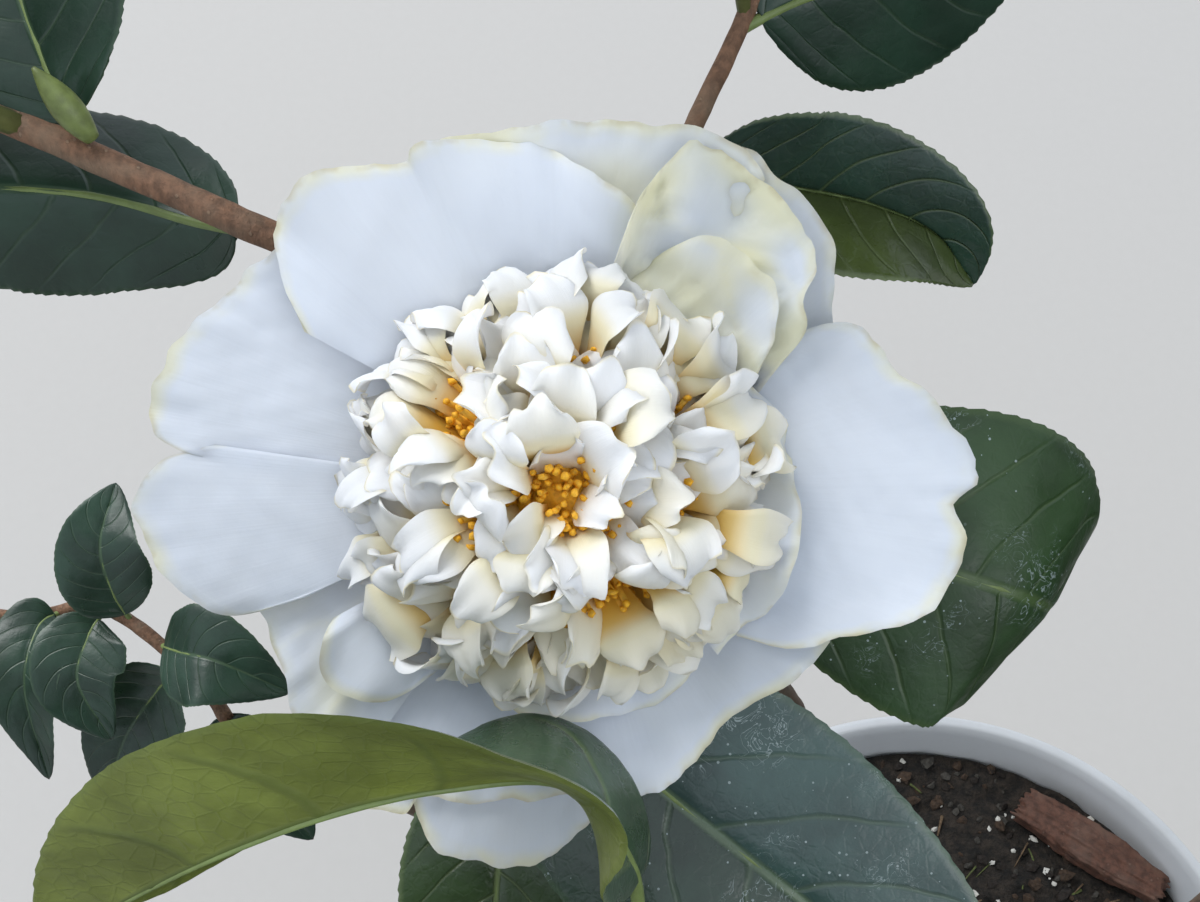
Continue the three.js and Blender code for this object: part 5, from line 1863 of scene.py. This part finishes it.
# The ball of small petals: its floor, radius and height. Its rings of petals, each with its lean
# from the axis in degrees and its number. The deep openings in it, each a place and a radius.
BALL_FLOOR, BALL_RADIUS, BALL_HEIGHT = -5, 25.4, 20
BALL_RINGS = [
    (5, 4), (16, 10), (27, 16), (38, 21), (49, 25), (60, 29), (71, 31), (82, 31), (92, 28),
    (101, 18),
]
BALL_GAPS = [
    (0.6, 1.2, 2.6), (2.6, -4.2, 2.6), (7.6, -14.6, 2.9), (10.1, -0.8, 1.7), (16.2, -2.7, 1.3),
    (-11.2, -5.0, 1.7), (0.4, -13.9, 1.2), (-13.4, 11.8, 1.0),
]
# How gold a small petal is along its length, from its root to its margin.
GOLD_PLACES = (0, 0.18, 0.34, 0.56, 1)
GOLD_SHARES = (1, 0.92, 0.58, 0.2, 0.02)


def leaning(lean, turn):
    """The direction that leans by an angle from a bloom's axis, at a turn round it."""
    return vec(math.cos(turn) * math.sin(lean), math.sin(turn) * math.sin(lean), math.cos(lean))


def ball_reach(share, lean):
    """A share of the way from the ball's middle to its surface, at a lean from the axis."""
    return share / math.hypot(math.sin(lean) / BALL_RADIUS, math.cos(lean) / BALL_HEIGHT)


def add_ball_petal(shapes, bloom, saucer, scale, lean, turn, random, rows, columns):
    """One small petal of a bloom's centre, that stands up and bends over into a rounded lobe."""
    along = leaning(lean, turn)
    reach = ball_reach(random.between(0.86, 1.05), lean)
    flat = math.cos(lean)
    outward = vec(math.cos(turn) * flat, math.sin(turn) * flat, -math.sin(lean))
    sideways = np.cross(along, outward)
    spin = random.between(-1.5, 1.5)
    tip = (along * reach)[:2]
    for x, y, radius in BALL_GAPS:
        away = tip - (x, y)
        if np.hypot(*away) < radius + 4:
            out, aside = vec(*away, 0) @ outward, vec(*away, 0) @ sideways
            spin = math.atan2(aside, out) + random.between(-0.5, 0.5)
            break
    bend_way = outward * math.cos(spin) + sideways * math.sin(spin)
    bend = math.radians(random.between(50, 130))
    arc = random.between(6, 9.8)
    half = random.between(2.7, 4.9)
    frill = random.between(0.4, 0.95)
    cup = random.between(-0.22, 0.24)
    scallop = random.between(0.02, 0.075)
    lobes = random.between(3.2, 6.5)
    phases = [random.between(0, TAU) for _ in range(3)]
    warmth = random.between(-0.12, 0.1)
    q, u = np.meshgrid(np.linspace(0, 1, rows), np.linspace(-1, 1, columns), indexing="ij")
    # Beyond the narrow stem the grid is eased into half a disc, so that the margin is round.
    p = np.clip((q - 0.4) / 0.6, 0, 1)
    reached = np.where(q < 0.4, q, 0.4 + 0.6 * p * np.sqrt(1 - 0.5 * u * u))
    reached -= scallop * p**3 * (1 + np.sin(lobes * u + phases[2]))
    theta = bend * np.clip((reached - 0.3) / 0.7, 0, 1)
    radius = arc / bend
    top = reach - radius * math.sin(min(bend, math.pi / 2))
    stand = along * (top * (0.5 + 0.5 * np.minimum(reached / 0.3, 1)))[..., None]
    over = along * (radius * np.sin(theta))[..., None]
    over = over + bend_way * (radius * (1 - np.cos(theta)))[..., None]
    normal = along * np.sin(theta)[..., None] - bend_way * np.cos(theta)[..., None]
    side = np.cross(along, bend_way)
    width = half * (0.22 + 0.78 * np.sin(math.pi / 2 * np.minimum(1, q / 0.6)) ** 1.3)
    width *= np.sqrt(1 - 0.5 * p * p)
    ruffle = u**2 * np.sin(5 * q + phases[0] + 1.6 * u) + p**2 * np.sin(3.8 * u + phases[1])
    ruffle = (frill * ruffle + 0.3 * p * np.sin(7 * u + phases[2])) * q
    local = stand + over + side * (u * width)[..., None]
    local = local + normal * (ruffle + cup * width * u * u)[..., None] + vec(0, 0, BALL_FLOOR)
    # A lobe that would pass through the outer petals is raised to lie on them.
    local[..., 2] += max(0, saucer.depth(local[q > 0.3]) + 0.5) * np.minimum(1, q / 0.3)
    # Painted shade: the ball is made creamier towards its lower right, the side turned away from
    # the light at the top left.
    painted_shade_side = np.clip((local[..., 0] * 0.7 - local[..., 1] * 0.75 - 4) / 24, 0, 1)
    tint = np.interp(q, GOLD_PLACES, GOLD_SHARES) + painted_shade_side * 0.24 + warmth
    shapes.add_blade(
        bloom.at(local * scale), SMALL_PETAL_THICKNESS * scale, (0, 0),
        np.stack([u / 2 + 0.5, q], -1), np.clip(tint, 0, 1), (False, False),
    )


def ball_leans(random):
    """Where the small petals stand: their lean from the bloom's axis and their turn round it."""
    places = []
    for ring, count in BALL_RINGS:
        for k in range(count):
            lean = math.radians(max(1, ring + random.between(-5, 5)))
            turn = TAU * (k + random.between(-0.35, 0.35)) / count
            x, y, _ = leaning(lean, turn) * ball_reach(1, lean)
            if not any(math.hypot(x - a, y - b) < r for a, b, r in BALL_GAPS):
                places.append((lean, turn))
    return places


def add_stamens(shapes, bloom, scale, count, random):
    """Gold anthers on pale stalks, packed in a dome that shows where the small petals part."""
    lump, faces = crumb_shape()
    for k in range(count):
        lean = math.acos(1 - 0.95 * (k + 0.5) / count)
        along = leaning(lean, k * math.radians(DIVERGENCE))
        reach = ball_reach(random.between(0.62, 0.78), lean)
        tip = along * reach + random.way() * 0.8 + vec(0, 0, BALL_FLOOR)
        root = vec(tip[0] * 0.4, tip[1] * 0.4, -8)
        bow = bloom.way(random.way()) * scale
        line = bowed(bloom.at(root * scale), bloom.at(tip * scale), bow)
        shapes.add_tube(line, lambda t: (0.46 - 0.1 * np.asarray(t)) * scale, 5, 4, 0)
        size = vec(0.5, 0.45, 0.9) * random.between(0.75, 1.2)
        rough = 1 + 0.25 * waves(lump, 1.2, int(random.next() * 1e6))
        shapes.add(bloom.at((lump * rough[:, None] * size + tip) * scale), faces, 1)


def add_core(shapes, bloom, scale):
    """The gold floor that the stamens stand on."""
    sides, rings = 28, 12
    turn = TAU * np.arange(sides) / sides
    size = vec(BALL_RADIUS * 0.56, BALL_RADIUS * 0.56, BALL_HEIGHT * 0.6)
    points = []
    for lean in np.radians(np.linspace(4, 86, rings)):
        x, y = np.cos(turn) * math.sin(lean), np.sin(turn) * math.sin(lean)
        ring = np.stack([x, y, np.full(sides, math.cos(lean))], -1)
        swell = 1 + 0.05 * waves(ring, 0.5, 9)
        points.append(ring * size * swell[:, None] + vec(0, 0, BALL_FLOOR))
    faces = [face[::-1] for face in tube_template(rings, sides)[0]]
    shapes.add(bloom.at(np.vstack(points) * scale), faces, 2)


def add_cup(shapes, bloom, scale, foot):
    """The green cup under a bloom, its scales and its stalk."""
    stalk = bowed(foot, bloom.at((0, 0, (CUP_FLOOR - 4) * scale)), vec(0, 0, 0))
    shapes.add_tube(stalk, lambda t: 1.8 + 1.3 * t, 12, 8, 1)
    for tier, count in ((0, 4), (1, 5)):
        for k in range(count):
            turn = TAU * (k + 0.5 * tier) / count
            t, u = np.meshgrid(np.linspace(0, 1, 10), np.linspace(-1, 1, 9), indexing="ij")
            out = 1.4 + 7.2 * np.sin(math.pi / 2 * t) + 0.5 * (1 - tier)
            across = u * 5.2 * np.sqrt(np.clip(1 - (2 * t - 1) ** 4, 0.02, 1)) * (1 - 0.25 * t)
            height = CUP_FLOOR - 4.5 + tier * 0.8 + 6.5 * t**1.6
            a = out * math.cos(turn) - across * math.sin(turn)
            b = out * math.sin(turn) + across * math.cos(turn)
            bulge = 1 - 0.12 * u * u
            local = np.stack([a * bulge, b * bulge, height], -1) * scale
            shapes.add_blade(bloom.at(local), 0.7 * scale, (0, 0), pointed=(False, False))


def bloom_finishes():
    """The finishes of a bloom: outer petals, small petals, the gold parts and the green parts."""
    s = settings()
    petal_white, cream = tuple(s.petal_colour), tuple(s.cream_colour)
    petal = petal_finish("outer petal", petal_white, (0.82, 0.78, 0.52), (0.8, 0.66, 0.3))
    inner = petal_finish("small petal", (0.88, 0.88, 0.89), cream, (0.82, 0.47, 0.06))
    gold = [
        plain_finish("stamen stalk", (0.85, 0.5, 0.06), 0.5, 1, 0.12),
        plain_finish("anther", tuple(s.stamen_colour), 0.6, 0.6, 0.25, 0.2),
        plain_finish("bloom core", (0.8, 0.42, 0.02), 0.6, 1.2, 0.3, 0.4),
    ]
    greens = [
        plain_finish("cup scale", (0.14, 0.16, 0.05), 0.55, 2, 0.25),
        plain_finish("bloom stalk", (0.12, 0.12, 0.045), 0.55, 2, 0.2),
    ]
    return petal, inner, gold, greens


# The rows and columns of a small petal and the number of stamens, in the large bloom and in a
# smaller one.
LARGE_CENTRE, SMALL_CENTRE = ((15, 14), 1100), ((10, 8), 120)


def make_petals(shapes, name, finish, slot, node):
    shapes.make(name, [finish], slot, node, tinted=True, crisp=80, sheet=True)


def make_centre(names, node, bloom, saucer, scale, random, grid, stamen_count):
    """The ball of small petals of a bloom, and its stamens, as two pieces."""
    _, inner, gold, _ = bloom_finishes()
    ball = Shapes()
    for lean, turn in ball_leans(random):
        add_ball_petal(ball, bloom, saucer, scale, lean, turn, random, *grid)
    make_petals(ball, names[0], inner, "bloom_centre", node)
    stamens = Shapes()
    add_core(stamens, bloom, scale)
    add_stamens(stamens, bloom, scale, stamen_count, random)
    stamens.make(names[1], gold, "bloom_centre", node)


def make_cup(name, node, bloom, scale, foot):
    *_, greens = bloom_finishes()
    cup = Shapes()
    add_cup(cup, bloom, scale, foot)
    cup.make(name, greens, "leaves", node)


class LARGE_BLOOM_OT_camellia(bpy.types.Operator):
    """Model the large bloom: outer petals, the ball of small petals, stamens and cup"""

    bl_idname = "camellia.large_bloom"
    bl_label = "Large bloom"

    def execute(self, context):
        deselect()
        petal, *_ = bloom_finishes()
        outer, saucer = Shapes(), Saucer()
        for k, (edge, *looks, points) in enumerate(OUTER_PETALS.values()):
            size = (44, 60) if len(points) > 6 else (30, 36)
            data = (edge, *looks, from_photo(points, edge))
            add_petal(outer, BLOOM, saucer, data, 1, *size, 200 + 9 * k)
        make_petals(outer, "outer_petals", petal, "petals", "bloom_petals")
        make_cup("bloom_cup", "bloom_petals", BLOOM, 1, UNDER_BLOOM)
        names = ("small_petals", "stamens")
        make_centre(names, "bloom_centre", BLOOM, saucer, 1, Seeded(5), *LARGE_CENTRE)
        return {"FINISHED"}


class SMALL_BLOOMS_OT_camellia(bpy.types.Operator):
    """Model the smaller blooms on the right and at the back"""

    bl_idname = "camellia.small_blooms"
    bl_label = "Small blooms"

    def execute(self, context):
        deselect()
        petal, *_ = bloom_finishes()
        for name, small in plant().blooms.items():
            shapes, saucer = Shapes(), Saucer()
            for k in range(9):
                tier = k % 3
                margin = self.margin(small.turn + 40 * k, tier)
                data = (3.2 * tier - 6, 0.1 * tier, 1.2, 0.6, margin)
                seed = small.seed + 9 * k
                add_petal(shapes, small.frame, saucer, data, small.scale, 26, 34, seed)
            make_petals(shapes, "petals_of_" + name, petal, "petals", name)
            names = ("centre_of_" + name, "stamens_of_" + name)
            random = Seeded(small.seed)
            make_centre(names, name, small.frame, saucer, small.scale, random, *SMALL_CENTRE)
            make_cup("cup_of_" + name, name, small.frame, small.scale, small.foot)
        return {"FINISHED"}

    @staticmethod
    def margin(turn, tier):
        """The margin of a petal that points a turn round the axis, shorter on a higher tier."""
        spread = np.radians(turn + np.linspace(-34, 34, 9))
        reach = (PETAL_REACH - 4 * tier) * (1 - 0.2 * np.abs(np.linspace(-1, 1, 9)) ** 2.5)
        reach[4] -= 1.2
        return np.stack([reach * np.cos(spread), reach * np.sin(spread)], -1).tolist()


# Stage

SKY_COLOUR, SKY_STRENGTH = (0.82, 0.9, 1.0, 1), 0.9
# The soft lights: where each is, what it points at, its size and its share of the power.
LIGHTS = {
    "soft key": ((-1.1, 0.9, 2.3), (-0.05, 0, 0.5), 1.6, 1),
    "soft fill": ((1.5, -1.5, 1.6), (0, 0, 0.4), 2.0, 0.35),
}


class STAGE_OT_camellia(bpy.types.Operator):
    """Set the pale floor, the soft light and the camera"""

    bl_idname = "camellia.stage"
    bl_label = "Stage"

    def execute(self, context):
        deselect()
        bpy.ops.mesh.primitive_plane_add(size=80, location=(0, 0, 0))
        floor = rename("floor")
        pale = Finish("pale floor")
        tone = pale.mix(pale.noise(6, 3), (0.51, 0.49, 0.465), (0.53, 0.51, 0.485))
        floor.data.materials.append(pale.done(Base_Color=tone, Roughness=0.9))
        scene = context.scene
        scene.view_settings.view_transform = "Standard"
        world = bpy.data.worlds.new("soft daylight")
        world.use_nodes = True
        sky = world.node_tree.nodes["Background"].inputs
        sky["Color"].default_value = SKY_COLOUR
        sky["Strength"].default_value = SKY_STRENGTH
        scene.world = world
        for name, (place, target, size, share) in LIGHTS.items():
            self.light(name, place, target, size, settings().light_power * share)
        self.camera(scene)
        return {"FINISHED"}

    @staticmethod
    def light(name, place, target, size, power):
        data = bpy.data.lights.new(name, "AREA")
        data.shape = "DISK"
        data.size = size
        data.energy = power
        lamp = bpy.data.objects.new(name, data)
        z = unit(vec(*place) - vec(*target))
        x = unit(np.cross(vec(0, 0, 1), z))
        set_place(lamp, x, np.cross(z, x), z, place)
        bpy.context.scene.collection.objects.link(lamp)

    @staticmethod
    def camera(scene):
        """The photograph's view: into the large bloom, with a 50 mm lens."""
        data = bpy.data.cameras.new("camera")
        data.lens = LENS
        data.sensor_width = SENSOR
        data.sensor_fit = "HORIZONTAL"
        data.clip_start = 0.01
        camera = bpy.data.objects.new("camera", data)
        set_place(camera, BLOOM.x, BLOOM.y, BLOOM.z, BLOOM.at(OPENING_APEX) * MM)
        scene.collection.objects.link(camera)
        scene.camera = camera


def set_place(item, x, y, z, place):
    rows = np.identity(4)
    rows[:3, 0], rows[:3, 1], rows[:3, 2], rows[:3, 3] = x, y, z, place
    item.matrix_world = Matrix(rows)


class CAMELLIA_PT_panel(bpy.types.Panel):
    """The pieces of the potted camellia and their settings"""

    bl_idname = "CAMELLIA_PT_panel"
    bl_label = "Potted camellia"
    bl_space_type = "VIEW_3D"
    bl_region_type = "UI"
    bl_category = "Camellia"

    def draw(self, context):
        layout = self.layout
        for key in CamelliaSettings.__annotations__:
            layout.prop(context.scene.camellia, key)
        for operator in OPERATORS:
            layout.operator(operator.bl_idname)


OPERATORS = (
    STAGE_OT_camellia,
    POT_OT_camellia,
    SOIL_OT_camellia,
    LIMBS_OT_camellia,
    CROWN_OT_camellia,
    NEAR_LEAVES_OT_camellia,
    LARGE_BLOOM_OT_camellia,
    SMALL_BLOOMS_OT_camellia,
)
CLASSES = (CamelliaSettings, *OPERATORS, CAMELLIA_PT_panel)


def register():
    for made in CLASSES:
        bpy.utils.register_class(made)
    bpy.types.Scene.camellia = PointerProperty(type=CamelliaSettings)


def unregister():
    del bpy.types.Scene.camellia
    for made in reversed(CLASSES):
        bpy.utils.unregister_class(made)


def main():
    register()
    bpy.ops.camellia.stage()
    bpy.ops.camellia.pot()
    bpy.ops.camellia.soil()
    bpy.ops.camellia.limbs()
    bpy.ops.camellia.crown()
    bpy.ops.camellia.near_leaves()
    bpy.ops.camellia.large_bloom()
    bpy.ops.camellia.small_blooms()


if __name__ == "__main__":
    main()
